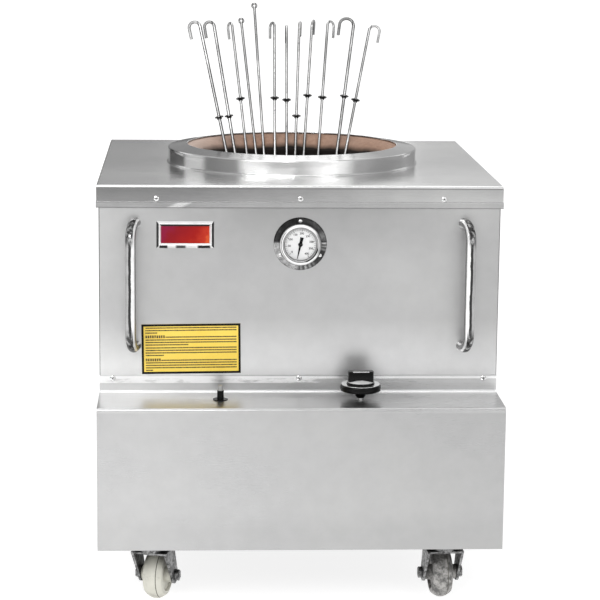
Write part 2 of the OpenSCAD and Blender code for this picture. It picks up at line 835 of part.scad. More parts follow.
hub_r = norm([bar_l, bar_t]) / 2;
hub_h = 5;

module knob() {
    r = knob_d / 2;
    grip = 3;
    low = -knob_base_h;
    color("black") translate([knob_x, control_pos, base_top]) difference() {
        union() {
            rotate_extrude() polygon([[0, low - cone_h], [stem_d / 2 + 3, low - cone_h],
                [stem_d / 2 + 12, low], [r - 1, low], [r, low + 1], [r, -2], [r - 2, 0], [hub_r, 0],
                [hub_r, hub_h - 1], [hub_r - 1, hub_h], [0, hub_h]]);
            translate([0, bar_t / 2, 0]) rotate([90, 0, 0]) linear_extrude(bar_t)
                polygon([[-bar_l / 2, 0], [bar_l / 2, 0], [bar_l / 2, bar_h - grip],
                    [bar_l / 2 - grip, bar_h], [-bar_l / 2 + grip, bar_h],
                    [-bar_l / 2, bar_h - grip]]);
        }
        translate([0, 0, low - cone_h - cut])
            cylinder(h = stem_top - knob_z + seat + cut, r = stem_d / 2 + run);
    }
}

// The bright ring on the knob's base, round its hub
module knob_ring() {
    color("white") translate([knob_x, control_pos, base_top]) difference() {
        cylinder(h = 0.8, r = knob_d / 2 - 2.5);
        translate([0, 0, -cut]) cylinder(h = 4, r = hub_r + seat);
    }
}

// Thermometer

thermo_flange_t = 2.5;
flange_head_d = 1.6 * screw_d;
case_wall = 2;
bezel_lip = 2;
glass_t = 2;
pivot_d = 3;

module at_thermometer() {
    translate([0, face_y, thermo_z]) rotate([90, 0, 0]) children();
}

module on_thermometer_screws() {
    at_thermometer() for (turn = [90, 210, 330]) rotate([0, 0, turn])
        translate([(bezel_d + flange_head_d) / 2 + clear, 0, thermo_flange_t]) children();
}

module thermometer_flange() {
    r = thermo_flange_d / 2;
    color("dimgray") difference() {
        at_thermometer() rotate_extrude() polygon([[probe_d / 2 + clear, 0], [r, 0], [r - 0.8, 1.6],
            [r - 2, thermo_flange_t], [probe_d / 2 + clear, thermo_flange_t]]);
        on_thermometer_screws() cylinder(h = 2 * screw_l, r = screw_d / 2 + clear, center = true);
    }
}

module thermometer_screws() {
    color("silver") on_thermometer_screws() dome_screw(flange_head_d, screw_d, screw_l);
}

// Case and bezel in one revolved shell, with the probe behind
module thermometer_case() {
    r = bezel_d / 2;
    back = thermo_flange_t;
    front = back + bezel_out;
    lip = dial_d / 2 - bezel_lip;
    probe = clay_face() + probe_in;
    color("gainsboro") at_thermometer() union() {
        rotate_extrude() polygon([[0, back], [r - 4, back], [r - 1, back + 3], [r, front - 5],
            [r - 1, front - 2], [r - 3, front], [lip + 1, front], [lip, front - 1],
            [lip, front - bezel_lip], [dial_d / 2 + seat, front - bezel_lip],
            [dial_d / 2 + seat, back + case_wall],
            [0, back + case_wall]]);
        translate([0, 0, -probe]) cylinder(h = probe + back + case_wall / 2, r = probe_d / 2);
    }
}

// Distance from the front panel to the pot's inside at the probe
function clay_face() = -face_y - lookup(thermo_z, [for (p = pot_inside()) [p[1], p[0]]]);

dial_z = thermo_flange_t + case_wall + 5;

module thermometer_dial() {
    color("white") at_thermometer() {
        translate([0, 0, thermo_flange_t + case_wall]) cylinder(h = 5, r = 8);
        translate([0, 0, dial_z]) cylinder(h = 1, r = dial_d / 2);
        translate([0, 0, dial_z]) cylinder(h = 3, r = pivot_d / 2);
    }
}

// Glass seated behind the bezel's lip
module thermometer_glass() {
    color("lightcyan", 0.3) at_thermometer()
        translate([0, 0, thermo_flange_t + bezel_out - bezel_lip - glass_t])
            cylinder(h = glass_t, r = dial_d / 2);
}

// Direction of the needle at rest, in degrees clockwise from the top
needle_turn = 192;

module thermometer_needle() {
    tip = dial_d / 2 - 5;
    tail = 0.21 * dial_d;
    color("black") at_thermometer() translate([0, 0, dial_z + 1.4]) rotate([0, 0, -needle_turn])
        difference() {
            union() {
                cylinder(h = 1, r = 1.5 * pivot_d);
                linear_extrude(0.8) polygon([[-2.4, 0], [-0.5, tip], [0.5, tip], [2.4, 0],
                    [3.6, -tail], [-3.6, -tail]]);
            }
            translate([0, 0, -cut]) cylinder(h = 1 + 2 * cut, r = pivot_d / 2 + run);
        }
}

// Badge and notice

// A plate with bevelled edges, lying on the front panel, w wide, h high and t thick
module bevel_plate(w, h, t, b) {
    intersection() {
        translate([0, 0, -h]) linear_extrude(2 * h)
            polygon([[-w / 2, 0], [w / 2, 0], [w / 2 - b, -t], [b - w / 2, -t]]);
        translate([-w, 0, 0]) rotate([90, 0, 90]) linear_extrude(2 * w)
            polygon([[0, -h / 2], [0, h / 2], [-t, h / 2 - b], [-t, b - h / 2]]);
    }
}

badge_t = 4;
badge_slope = 4.5;
plate_t = 1.2;
notice_t = 0.8;

badge_x = handle_x - badge_gap - badge_w / 2;
notice_x = handle_x - handle_d / 2 / cos(handle_splay) - notice_gap - notice_w / 2;

module at_badge() {
    translate([-badge_x, face_y, base_z + badge_mid]) children();
}

module badge_frame() {
    w = badge_w - 2 * badge_border;
    h = badge_h - 2 * badge_border - 2;
    color("gainsboro") at_badge() difference() {
        bevel_plate(badge_w, badge_h, badge_t, badge_slope);
        translate([-w / 2, -2 * badge_t, -h / 2]) cube([w, 3 * badge_t, h]);
        translate([0, -plate_t, 0])
            bevel_plate(w, h, badge_t - plate_t + cut, badge_slope + 1 - badge_border);
    }
}

module badge_plate() {
    w = badge_w - 2 * badge_border - 2 * seat;
    h = badge_h - 2 * badge_border - 2 - 2 * seat;
    color("crimson") at_badge() translate([-w / 2, -plate_t, -h / 2]) cube([w, plate_t, h]);
}

module notice_plate() {
    color("gold") translate([-notice_x, face_y, flange_top + notice_rise + notice_h / 2])
        rotate([0, -notice_tilt, 0])
            translate([-notice_w / 2, -notice_t, -notice_h / 2])
                cube([notice_w, notice_t, notice_h]);
}

// Casters, numbered front left, front right, rear left, rear right

function caster_x(c) = (c % 2 == 0 ? -1 : 1) * (side_x - caster_in_x);
function caster_y(c) = c < 2 ? apron_y + caster_in_y : back_y - caster_in_y;
// How each caster is turned at rest
swivel = [-17, 4, 10, -6];

plate_t_steel = 4;
bolt_d = 8;
crown_z0 = caster_h - 29;
crown_z1 = caster_h - 14;
bridge_t = 4;
leg_t = 5;
leg_gap = wheel_w + 22;
kingpin_head = 4;
nut_t = 8;

module on_casters() {
    for (c = [0:3]) translate([caster_x(c), caster_y(c), 0]) children();
}

module on_caster_bolts() {
    on_casters() for (sx = [-1, 1], sy = [-1, 1])
        translate([sx * plate_bolts / 2, sy * plate_bolts / 2, base_z]) children();
}

module caster_plates() {
    color("gray") difference() {
        on_casters() {
            translate([-plate_l / 2, -plate_l / 2, base_z - plate_t_steel])
                cube([plate_l, plate_l, plate_t_steel]);
            translate([0, 0, crown_z1 + seat])
                cylinder(h = base_z - plate_t_steel / 2 - crown_z1 - seat, r = 27);
            translate([0, 0, crown_z0 + 1]) cylinder(h = base_z - crown_z0 - 2, r = kingpin_d / 2);
            translate([0, 0, crown_z0 + seat])
                cylinder(h = kingpin_head - 2 * seat, r = kingpin_d / 2 + 4);
        }
        on_caster_bolts() cylinder(h = 4 * plate_t_steel, r = bolt_d / 2 + clear, center = true);
    }
}

module caster_bolts() {
    head = 5;
    color("silver") on_caster_bolts() {
        translate([0, 0, -plate_t_steel - head]) cylinder(h = head, r = 7.5, $fn = 6);
        translate([0, 0, -plate_t_steel - 1]) cylinder(h = plate_t_steel + rail_t + 12, r = bolt_d / 2);
        translate([0, 0, rail_t]) cylinder(h = 6, r = 7.5, $fn = 6);
    }
}

module at_caster(c) {
    translate([caster_x(c), caster_y(c), 0]) rotate([0, 0, swivel[c]]) children();
}

// Fork with its swivel crown, and the axle bolt with its nut
module caster_fork(c) {
    inner = leg_gap / 2;
    outer = inner + leg_t;
    axle_z = wheel_d / 2;
    color("gray") at_caster(c) {
        difference() {
            union() {
                translate([0, 0, crown_z0]) cylinder(h = crown_z1 - crown_z0, r = 30);
                translate([-outer, -28, crown_z0]) cube([2 * outer, 58, bridge_t]);
                for (x = [-outer, inner]) translate([x, 0, 0]) rotate([90, 0, 90])
                    linear_extrude(leg_t) polygon(concat([[30, crown_z0 + bridge_t / 2],
                        [-28, crown_z0 + bridge_t / 2]], arc([trail, axle_z], 18, 190, 360, 12)));
            }
            translate([0, 0, crown_z0 - cut]) cylinder(h = kingpin_head + cut, r = kingpin_d / 2 + 5);
            translate([0, 0, crown_z0]) cylinder(h = crown_z1, r = kingpin_d / 2 + run);
            rod_x(trail, axle_z, -2 * outer, 2 * outer, axle_d / 2 + clear);
        }
        rod_x(trail, axle_z, -outer - nut_t - 1, outer + nut_t + 1, axle_d / 2);
        for (x = [-outer - nut_t - seat, outer + seat])
            translate([x, trail, axle_z]) rotate([0, 90, 0]) cylinder(h = nut_t, r = axle_d, $fn = 6);
    }
}

// Wheel with a crowned tread and a stepped hub
module caster_wheel(c) {
    r = wheel_d / 2;
    half = wheel_w / 2;
    hub = leg_gap / 2 - seat;
    color("ivory") at_caster(c) translate([0, trail, r]) rotate([0, 90, 0]) rotate_extrude($fn = 96)
        polygon(concat([[axle_d / 2 + run, -hub], [axle_d + 3, -hub], [axle_d + 4, -half + 5],
            [r - 18, -half + 5], [r - 16, -half]],
            [for (i = [-6:6]) [r - 9 * (i / 6) * (i / 6), half * i / 6.5]],
            [[r - 16, half], [r - 18, half - 5], [axle_d + 4, half - 5], [axle_d + 3, hub],
            [axle_d / 2 + run, hub]]));
}

// Skewers

// Each row: bearing of the rim contact from straight back, foot x, foot y, length,
// height of the stop disc (0 for none), thick rod, hook width (0 for an eye), hook bearing
skewer_rows = [
    [-48, -32, -16, 845, 617, true, 25, 180],
    [-40, -37, -8, 841, 616, true, 22, 180],
    [-30, -37, -40, 857, 670, false, 20, 118],
    [-23, -18, -24, 861, 0, false, 0, 180],
    [-17, -24, -8, 889, 0, false, 0, 180],
    [-9, -31, 8, 839, 656, false, 20, 118],
    [-1, -8, -16, 845, 662, false, 22, 90],
    [5, -4, 8, 836, 615, false, 22, -86],
    [11, -2, -8, 848, 670, false, 22, -80],
    [21, 24, -24, 858, 670, false, 22, 45],
    [35, 36, -8, 848, 664, true, 32, 180],
    [42, 19, -40, 853, 670, false, 24, 0]];

// Slope from upright at which the rods meet the rounded neck
lean_slope = 20;

function rod_r(k) = (skewer_rows[k][5] ? thick_d : thin_d) / 2;
function foot(k) = [skewer_rows[k][1], skewer_rows[k][2], deflector_z + seat];
function lean(k) = let (
    reach = 2 * rim_round + rod_r(k) + 2 * seat,
    r = ring_in - reach * cos(lean_slope),
    a = skewer_rows[k][0])
    [r * sin(a), r * cos(a), neck_z + reach * sin(lean_slope)];

module skewer(k) {
    row = skewer_rows[k];
    r = rod_r(k);
    d = lean(k) - foot(k);
    bearing = atan2(d[1], d[0]);
    tilt = atan2(norm([d[0], d[1]]), d[2]);
    hook = row[6] / 2;
    bend = hook > 0 ? hook : eye_d / 2;
    straight = row[3] - bend - r;
    point = 30;
    color("gainsboro") translate(foot(k)) rotate([0, tilt, bearing])
        rotate([0, 0, row[7] - bearing]) {
            cylinder(h = point, r1 = 0.8, r2 = r);
            translate([0, 0, point]) cylinder(h = straight - point - (hook > 0 ? 0 : bend), r = r);
            if (hook > 0) {
                translate([bend, 0, straight]) rotate([90, 0, 0])
                    rotate_extrude(angle = 180) translate([bend, 0]) circle(r = r);
                translate([2 * bend, 0, straight - hook_tail]) cylinder(h = hook_tail, r = r);
            } else {
                translate([0, 0, straight]) rotate([90, 0, 0])
                    rotate_extrude() translate([bend, 0]) circle(r = r * 0.8);
            }
            if (row[4] > 0) {
                translate([0, 0, row[4]]) cylinder(h = 1.6, r = disc_d / 2);
                translate([0, 0, row[4] - 4]) cylinder(h = 4, r1 = r + 0.8, r2 = 5.5);
            }
        }
}

module oven() {
    top_cover();
    mouth_ring();
    clay_pot();
    insulation();
    front_panel();
    side_panel(-1);  // left_side_panel
    side_panel(1);  // right_side_panel
    rear_panel();
    handle(-1);  // left_handle
    handle(1);  // right_handle
    base_frame();
    burner_deck();
    control_box_cover();
    gas_inlet_pipe();
    gas_valve_body();
    gas_manifold();
    burner();
    heat_deflector();
    pilot_burner();
    igniter_lead();
    thermocouple_lead();
    igniter_body();
    igniter_nut();
    thermometer_flange();
    thermometer_case();
    thermometer_dial();
    thermometer_glass();
    badge_frame();
    badge_plate();
    notice_plate();
    cabinet_screws();
    thermometer_screws();
    caster_plates();
    caster_bolts();
    valve_stem();
    knob();
    knob_ring();
    igniter_button();
    thermometer_needle();
    air_shutter();
    corners = ["front_left", "front_right", "rear_left", "rear_right"];
    for (c = [0:3]) {
        caster_fork(c);
        caster_wheel(c);
    }
    for (k = [0:SKEWERS - 1])
        skewer(k);
}

translate([0, shift_y, 0]) oven();
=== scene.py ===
"""Looks of the tandoor oven: camera, studio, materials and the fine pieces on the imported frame."""

import json
from math import asin, cos, pi, radians, sin, tan

import bmesh
import bpy
from mathutils import Euler, Matrix, Vector


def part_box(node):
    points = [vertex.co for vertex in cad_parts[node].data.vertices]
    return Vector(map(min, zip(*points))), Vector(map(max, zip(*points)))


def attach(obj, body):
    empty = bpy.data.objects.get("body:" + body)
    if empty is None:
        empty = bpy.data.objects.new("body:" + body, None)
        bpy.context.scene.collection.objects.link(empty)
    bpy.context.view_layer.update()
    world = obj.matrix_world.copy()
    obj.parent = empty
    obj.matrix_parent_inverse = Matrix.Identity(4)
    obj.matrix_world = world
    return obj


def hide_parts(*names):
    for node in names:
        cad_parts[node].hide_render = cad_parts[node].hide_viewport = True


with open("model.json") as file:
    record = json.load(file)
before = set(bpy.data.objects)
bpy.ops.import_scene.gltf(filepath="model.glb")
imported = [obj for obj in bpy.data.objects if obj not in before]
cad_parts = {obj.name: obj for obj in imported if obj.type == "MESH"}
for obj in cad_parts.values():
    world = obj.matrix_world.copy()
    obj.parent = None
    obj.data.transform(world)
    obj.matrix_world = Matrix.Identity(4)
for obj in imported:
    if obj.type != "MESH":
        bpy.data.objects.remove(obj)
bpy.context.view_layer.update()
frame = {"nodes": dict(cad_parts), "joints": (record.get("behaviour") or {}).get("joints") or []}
NODES = frame["nodes"]

# Camera, fitted to the photograph's edges
CAMERA_AT = (-0.2181, -4.7065, 1.4301)
CAMERA_YAW = -0.0502
CAMERA_PITCH = -0.1838
CAMERA_ROLL = -0.0102
LENS_MM = 131.1

# Places taken from the frame
FRONT_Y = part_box("front_panel")[0].y
KNOB_LOW, KNOB_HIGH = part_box("knob")
DIAL_LOW, DIAL_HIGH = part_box("thermometer_dial")
COVER_LOW, COVER_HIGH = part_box("top_cover")
POT_LOW, POT_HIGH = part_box("clay_pot")
AXIS = Vector(((POT_LOW.x + POT_HIGH.x) / 2, (POT_LOW.y + POT_HIGH.y) / 2, 0))

# Sizes of the oven that the looks follow; a skewer whose rod is thicker than this is duller
LEDGE_Z = 0.429
CABINET_HALF = 0.406
ROD_R_THICK = 0.0034


# Camera and studio


def add_camera():
    """The photograph's camera."""
    data = bpy.data.cameras.new("camera")
    data.sensor_width = 36
    data.lens = LENS_MM
    data.clip_end = 60
    cam = bpy.data.objects.new("camera", data)
    turn = Euler((pi / 2 + CAMERA_PITCH, 0, CAMERA_YAW)).to_matrix()
    turn = turn @ Matrix.Rotation(-CAMERA_ROLL, 3, "Z")
    cam.matrix_world = Matrix.Translation(CAMERA_AT) @ turn.to_4x4()
    bpy.context.scene.collection.objects.link(cam)
    bpy.context.scene.camera = cam


def add_area(name, at, aim, size, power):
    """A soft rectangular lamp that points at a place."""
    data = bpy.data.lights.new(name, "AREA")
    data.shape = "RECTANGLE"
    data.size, data.size_y = size
    data.energy = power
    lamp = bpy.data.objects.new(name, data)
    lamp.location = at
    lamp.rotation_euler = (Vector(aim) - Vector(at)).to_track_quat("-Z", "Y").to_euler()
    bpy.context.scene.collection.objects.link(lamp)


def matt_shade(name, grey):
    """A shader without gloss whose white glow is set by its caller."""
    shade = Shader(name)
    shade.base((grey, grey, grey))
    shade.set("Roughness", 1.0)
    shade.set("Specular IOR Level", 0.0)
    shade.set("Emission Color", (1, 1, 1, 1))
    return shade


def stage_board(board, shade):
    """Gives a glowing board its shader and leaves it to the metal's reflections alone."""
    board.data.materials.append(shade.mat)
    board.visible_camera = False
    board.visible_diffuse = False
    board.visible_shadow = False


def add_card(name, centre, across, up, glow):
    """A flat board beside the oven that only the metal's reflections show."""
    centre, across, up = Vector(centre), Vector(across), Vector(up)
    card = new_mesh(name, [centre - across - up, centre + across - up, centre + across + up,
                           centre - across + up], [(0, 1, 2, 3)])
    shade = matt_shade(name + "_shade", 0)
    shade.set("Emission Strength", glow)
    stage_board(card, shade)


def add_ring_boards():
    """A low round screen whose light and dark patches show in the mouth ring's upright wall."""
    r, low, high, high_behind, steps = 2.4, 0.62, 1.5, 1.0, 90
    turns = [2 * pi * k / steps for k in range(steps + 1)]
    verts = [(AXIS.x + r * sin(a), AXIS.y - r * cos(a), z) for a in turns
             for z in (low, high if cos(a) > -0.9 else high_behind)]
    faces = [(2 * k, 2 * k + 2, 2 * k + 3, 2 * k + 1) for k in range(steps)]
    screen = new_mesh("ring_boards", verts, faces)
    shade = matt_shade("ring_boards_shade", 0)
    shade.set("Emission Strength", shade.curve(shade.angle(AXIS.x, AXIS.y), -180, 180, [
        (-172, 0.2), (-166, 0.02), (-118, 0.03), (-113, 0.72), (-90, 0.75), (-84, 0.2),
        (-51, 0.28), (-46, 0.85), (-26, 0.85), (-22, 0.52), (4, 0.6), (12, 0.85), (18, 1.1),
        (44, 1.1), (56, 0.42), (90, 0.3), (118, 0.4), (150, 0.3)]))
    stage_board(screen, shade)


def studio_floor():
    """White floor that curves up into a backdrop far behind the oven, past any camera."""
    bend_at, bend_r, half, top, near = 12.0, 1.5, 24.0, 15.0, -20.0
    profile = [(near, 0.0)]
    profile += [(bend_at + bend_r * sin(a), bend_r - bend_r * cos(a))
                for a in [radians(9 * i) for i in range(11)]]
    profile += [(bend_at + bend_r, top)]
    verts = [(x, y, z) for y, z in profile for x in (-half, half)]
    faces = [(2 * i, 2 * i + 1, 2 * i + 3, 2 * i + 2) for i in range(len(profile) - 1)]
    floor = new_mesh("studio_floor", verts, faces)
    shade = matt_shade("studio_white", 0.4)
    ahead = shade.range(shade.along("Y"), -3.2, -0.7, 1.0, 0.0)
    side = shade.range(shade.along("X"), -1.6, 1.6, 0.74, 0.5)
    shade.set("Emission Strength", shade.lerp(ahead, 0.84, side))
    floor.data.materials.append(shade.mat)


def add_studio():
    """Soft light from all round, a bright window high in front and boards that shade the metal."""
    studio_floor()
    world = bpy.data.worlds.new("studio")
    world.use_nodes = True
    bpy.context.scene.world = world
    tree = world.node_tree
    coord = tree.nodes.new("ShaderNodeTexCoord")
    split = tree.nodes.new("ShaderNodeSeparateXYZ")
    ramp = tree.nodes.new("ShaderNodeValToRGB")
    tree.links.new(coord.outputs["Generated"], split.inputs[0])
    tree.links.new(split.outputs["Z"], ramp.inputs["Fac"])
    tree.links.new(ramp.outputs["Color"], tree.nodes["Background"].inputs["Color"])
    set_ramp(ramp, [(0.0, (0.8, 0.8, 0.8)), (0.25, (0.5, 0.5, 0.5)), (1.0, (0.62, 0.62, 0.62))])
    tree.nodes["Background"].inputs["Strength"].default_value = 0.95

    add_card("far_front_board", (0, -5.6, 0.8), (5, 0, 0), (0, 0, 0.8), 0.42)
    add_ring_boards()
    add_card("low_back_board", (0, 4.4, 0.55), (3.0, 0, 0), (0, 0, 0.25), 0.05)
    add_card("back_left_board", (-2.6, 4.6, 2.1), (2.35, 0, 0), (0, 0, 1.05), 0.4)
    add_card("back_right_board", (2.9, 4.6, 2.1), (2.2, 0, 0), (0, 0, 1.05), 0.62)
    add_card("left_board", (-2.6, 0.2, 1.1), (0, 1.3, 0), (0, 0, 1.0), 0.25)
    add_card("right_board", (2.6, 0.2, 1.1), (0, 1.3, 0), (0, 0, 1.0), 0.35)
    add_area("window", (-1.2, -2.9, 2.1), (0, 0, 0.6), (2.6, 1.2), 62)
    add_area("window_right", (1.7, -2.8, 1.7), (0, 0, 0.6), (0.9, 1.0), 14)
    add_area("top", (0.0, 0.2, 3.4), (0, 0, 0.9), (1.8, 1.8), 16)
    bpy.context.scene.view_settings.view_transform = "Standard"


# Materials


def set_ramp(node, stops):
    """Gives a colour ramp its stops of place and colour."""
    ramp = node.color_ramp
    while len(ramp.elements) < len(stops):
        ramp.elements.new(1.0)
    for element, (at, colour) in zip(ramp.elements, stops):
        element.position = at
        element.color = (*colour, 1.0)


class Shader:
    """A node material built from a few named steps, in metres of the row's own frame."""

    def __init__(self, name):
        self.mat = bpy.data.materials.new(name)
        self.mat.use_nodes = True
        self.tree = self.mat.node_tree
        self.out = self.tree.nodes["Principled BSDF"]
        self.coord = self.tree.nodes.new("ShaderNodeTexCoord").outputs["Object"]
        self.height = None

    def node(self, kind, **inputs):
        made = self.tree.nodes.new("ShaderNode" + kind)
        for key, value in inputs.items():
            self.feed(made.inputs[key.replace("_", " ")], value)
        return made

    def feed(self, socket, value):
        if isinstance(value, bpy.types.NodeSocket):
            self.tree.links.new(value, socket)
        else:
            socket.default_value = value

    def set(self, name, value):
        self.feed(self.out.inputs[name], value)

    def base(self, colour):
        self.set("Base Color", (*colour, 1.0))

    def noise(self, scale, stretch=(1, 1, 1), detail=4.0, rough=0.55, shift=(0, 0, 0)):
        """Noise from 0 to 1; stretch above 1 packs it closer along that axis."""
        mapped = self.node("Mapping", Vector=self.coord)
        mapped.inputs["Scale"].default_value = stretch
        mapped.inputs["Location"].default_value = shift
        made = self.node("TexNoise", Vector=mapped.outputs[0], Scale=scale, Detail=detail)
        made.inputs["Roughness"].default_value = rough
        return made.outputs["Fac"]

    def ramp(self, fac, stops):
        made = self.node("ValToRGB", Fac=fac)
        set_ramp(made, stops)
        return made.outputs["Color"]

    def greys(self, fac, stops):
        return self.ramp(fac, [(at, (v, v, v)) for at, v in stops])

    def range(self, value, low, high, to_low, to_high):
        made = self.node("MapRange", Value=value)
        for key, number in (("From Min", low), ("From Max", high), ("To Min", to_low), ("To Max", to_high)):
            made.inputs[key].default_value = number
        return made.outputs["Result"]

    def math(self, kind, a, b=0.0):
        made = self.tree.nodes.new("ShaderNodeMath")
        made.operation = kind
        self.feed(made.inputs[0], a)
        self.feed(made.inputs[1], b)
        return made.outputs[0]

    def lerp(self, fac, a, b):
        made = self.node("Mix", Factor=fac)
        self.feed(made.inputs["A"], a)
        self.feed(made.inputs["B"], b)
        return made.outputs["Result"]

    def mix(self, fac, a, b, kind="MIX"):
        made = self.tree.nodes.new("ShaderNodeMix")
        made.data_type = "RGBA"
        made.blend_type = kind
        self.feed(made.inputs[0], fac)
        self.feed(made.inputs[6], (*a, 1.0) if isinstance(a, tuple) else a)
        self.feed(made.inputs[7], (*b, 1.0) if isinstance(b, tuple) else b)
        return made.outputs[2]

    def along(self, axis):
        return self.node("SeparateXYZ", Vector=self.coord).outputs[axis]

    def facing(self, axis):
        """How far the surface faces along one of the row's own axes."""
        normal = self.tree.nodes.new("ShaderNodeTexCoord").outputs["Normal"]
        return self.node("SeparateXYZ", Vector=normal).outputs[axis]

    def product(self, *values):
        total = values[0]
        for value in values[1:]:
            total = self.math("MULTIPLY", total, value)
        return total

    def curve(self, value, low, high, stops):
        """A number that follows stops of place and factor along a value."""
        place = self.range(value, low, high, 0.0, 1.0)
        made = self.greys(place, [((at - low) / (high - low), v / 2) for at, v in stops])
        return self.math("MULTIPLY", made, 2.0)

    def band(self, value, low, high, soft):
        """1 between two places and 0 outside them, with soft ends."""
        return self.product(self.range(value, low - soft, low, 0.0, 1.0),
                            self.range(value, high, high + soft, 1.0, 0.0))

    def angle(self, x, y):
        """Degrees round an upright axis, 0 at the front and rising to the right."""
        right = self.math("SUBTRACT", self.along("X"), x)
        ahead = self.math("SUBTRACT", y, self.along("Y"))
        return self.math("MULTIPLY", self.math("ARCTAN2", right, ahead), 180 / pi)

    def clock(self, x, z):
        """Degrees round an axis through the front, 0 at the top and rising clockwise."""
        right = self.math("SUBTRACT", self.along("X"), x)
        up = self.math("SUBTRACT", self.along("Z"), z)
        return self.math("MULTIPLY", self.math("ARCTAN2", right, up), 180 / pi)

    def reach(self, x, z):
        """Distance from an axis through the front."""
        right = self.math("SUBTRACT", self.along("X"), x)
        up = self.math("SUBTRACT", self.along("Z"), z)
        return self.math("SQRT", self.math("ADD", self.product(right, right), self.product(up, up)))

    def bump(self, height, strength, distance):
        made = self.node("Bump", Height=height, Strength=strength, Distance=distance)
        if self.height is not None:
            self.feed(made.inputs["Normal"], self.height)
        self.height = made.outputs[0]
        self.set("Normal", self.height)

    def bevel(self, radius):
        """Rounds the sharp edges' shading, first in the chain of normals."""
        made = self.node("Bevel", Radius=radius)
        made.samples = 4
        self.height = made.outputs[0]
        self.set("Normal", self.height)


def brushed_steel(name, tone, streak, rough, cloud, wave, edge=0.0012, painted_light_by=None):
    """Stainless sheet: fine streaks, cloudy smudges, a slight waviness and places that are more worn;
    painted_light_by paints highlights, reflections and shade into its colour.
    """
    s = Shader(name)
    s.bevel(edge)
    s.set("Metallic", 1.0)
    fine = s.noise(14, streak, 5, 0.7)
    clouds = s.noise(2.4, (1, 1, 1.6), 5, 0.6)
    spots = s.noise(26, (1, 1, 1), 3, 0.6, (3, 1, 2))
    low, high = tone * (1 - cloud), tone * (1 + cloud)
    tint = s.ramp(clouds, [(0.3, (low, low, low * 1.01)), (0.7, (high, high, high * 0.99))])
    tint = s.mix(0.25, tint, s.greys(spots, [(0.35, tone * 0.9), (0.65, tone * 1.08)]))
    # painted light and shade from painted_light_by multiplied into the colour
    s.set("Base Color", s.mix(1.0, tint, painted_light_by(s), "MULTIPLY") if painted_light_by else tint)
    worn = s.math("MULTIPLY_ADD", clouds, 0.16)
    worn.node.inputs[2].default_value = rough - 0.08
    s.set("Roughness", s.math("ADD", worn, s.range(fine, 0.3, 0.7, -0.03, 0.03)))
    if wave:
        s.bump(s.noise(1.7, (1, 1, 0.7), 1, 0.4, (5, 0, 0)), wave, 0.02)
    s.bump(fine, 0.05, 0.0004)
    return s.mat


def cover_painted_light(s):
    """Painted reflections: the top lighter towards the front and right, the skirt darker on its left and near
    its top, a painted highlight along the folded edge with a dark line below it, a painted glint and dark
    lines on the hem.
    """
    x, y, z = s.along("X"), s.along("Y"), s.along("Z")
    # painted reflection: the top lighter towards the front and right
    top = s.product(s.range(y, 0.02, -0.2, 1.06, 1.28), s.curve(x, -0.45, 0.45, [(0.2, 1.0), (0.3, 1.1)]))
    # painted reflection and shade: the skirt darker on the left and just under the fold
    skirt = s.curve(x, -0.45, 0.45, [(-0.4, 0.64), (-0.2, 0.74), (0.0, 0.86), (0.2, 1.02)])
    skirt = s.product(skirt, s.range(z, COVER_HIGH.z - 0.008, COVER_HIGH.z - 0.03, 0.9, 1.08))
    hem = s.band(z, COVER_LOW.z, COVER_LOW.z + 0.0105, 0.0004)
    hem_tone = s.curve(x, -0.45, 0.45, [(-0.4, 0.95), (0.0, 1.0), (0.25, 0.98)])
    skirt = s.lerp(hem, skirt, hem_tone)
    # shine is a painted glint slanting across the hem
    shine = s.product(hem, s.band(s.math("ADD", x, s.product(s.math("SUBTRACT", z, COVER_LOW.z), -2.0)),
                                  -0.262, -0.248, 0.012))
    skirt = s.math("ADD", skirt, s.product(shine, 0.9))
    # painted dark line at the skirt's lower edge, painted highlight along the folded edge, and a painted dark
    # line below that highlight
    skirt = s.lerp(s.band(z, COVER_LOW.z - 0.001, COVER_LOW.z + 0.0012, 0.0003), skirt, 0.55)
    skirt = s.lerp(s.band(z, COVER_HIGH.z - 0.0046, COVER_HIGH.z - 0.0008, 0.0003), skirt, 1.75)
    skirt = s.lerp(s.band(z, COVER_HIGH.z - 0.0075, COVER_HIGH.z - 0.005, 0.0006), skirt, 0.62)
    # painted dark line on the hem's top
    top = s.lerp(s.band(z, COVER_LOW.z + 0.01, COVER_LOW.z + 0.014, 0.0003), top, 0.4)
    return s.lerp(s.range(s.facing("Z"), 0.4, 0.8, 0.0, 1.0), skirt, top)


def panel_painted_light(s):
    """Painted shade under the cover, a painted reflection that makes it brighter low down, and a painted dark
    line at the folded edges.
    """
    x, z = s.along("X"), s.along("Z")
    high = s.range(z, 0.7, 0.82, 0.0, 1.0)
    middle = s.band(x, -0.08, 0.16, 0.2)
    # painted brightness low down and painted shade under the middle of the cover
    tone = s.product(s.range(z, 0.58, 0.48, 1.0, 1.42), s.range(s.product(high, middle), 0.0, 1.0, 1.0, 0.72))
    # painted reflection: lighter and darker across the panel
    tone = s.product(tone, s.curve(x, -0.45, 0.45, [(-0.4, 1.04), (-0.3, 0.96), (0.2, 0.98), (0.4, 0.9)]))
    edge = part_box("front_panel")[1].x
    # painted dark line along the folded edges
    return s.lerp(s.band(s.math("ABSOLUTE", x), edge - 0.0014, edge + 0.01, 0.0005), tone, 0.3)


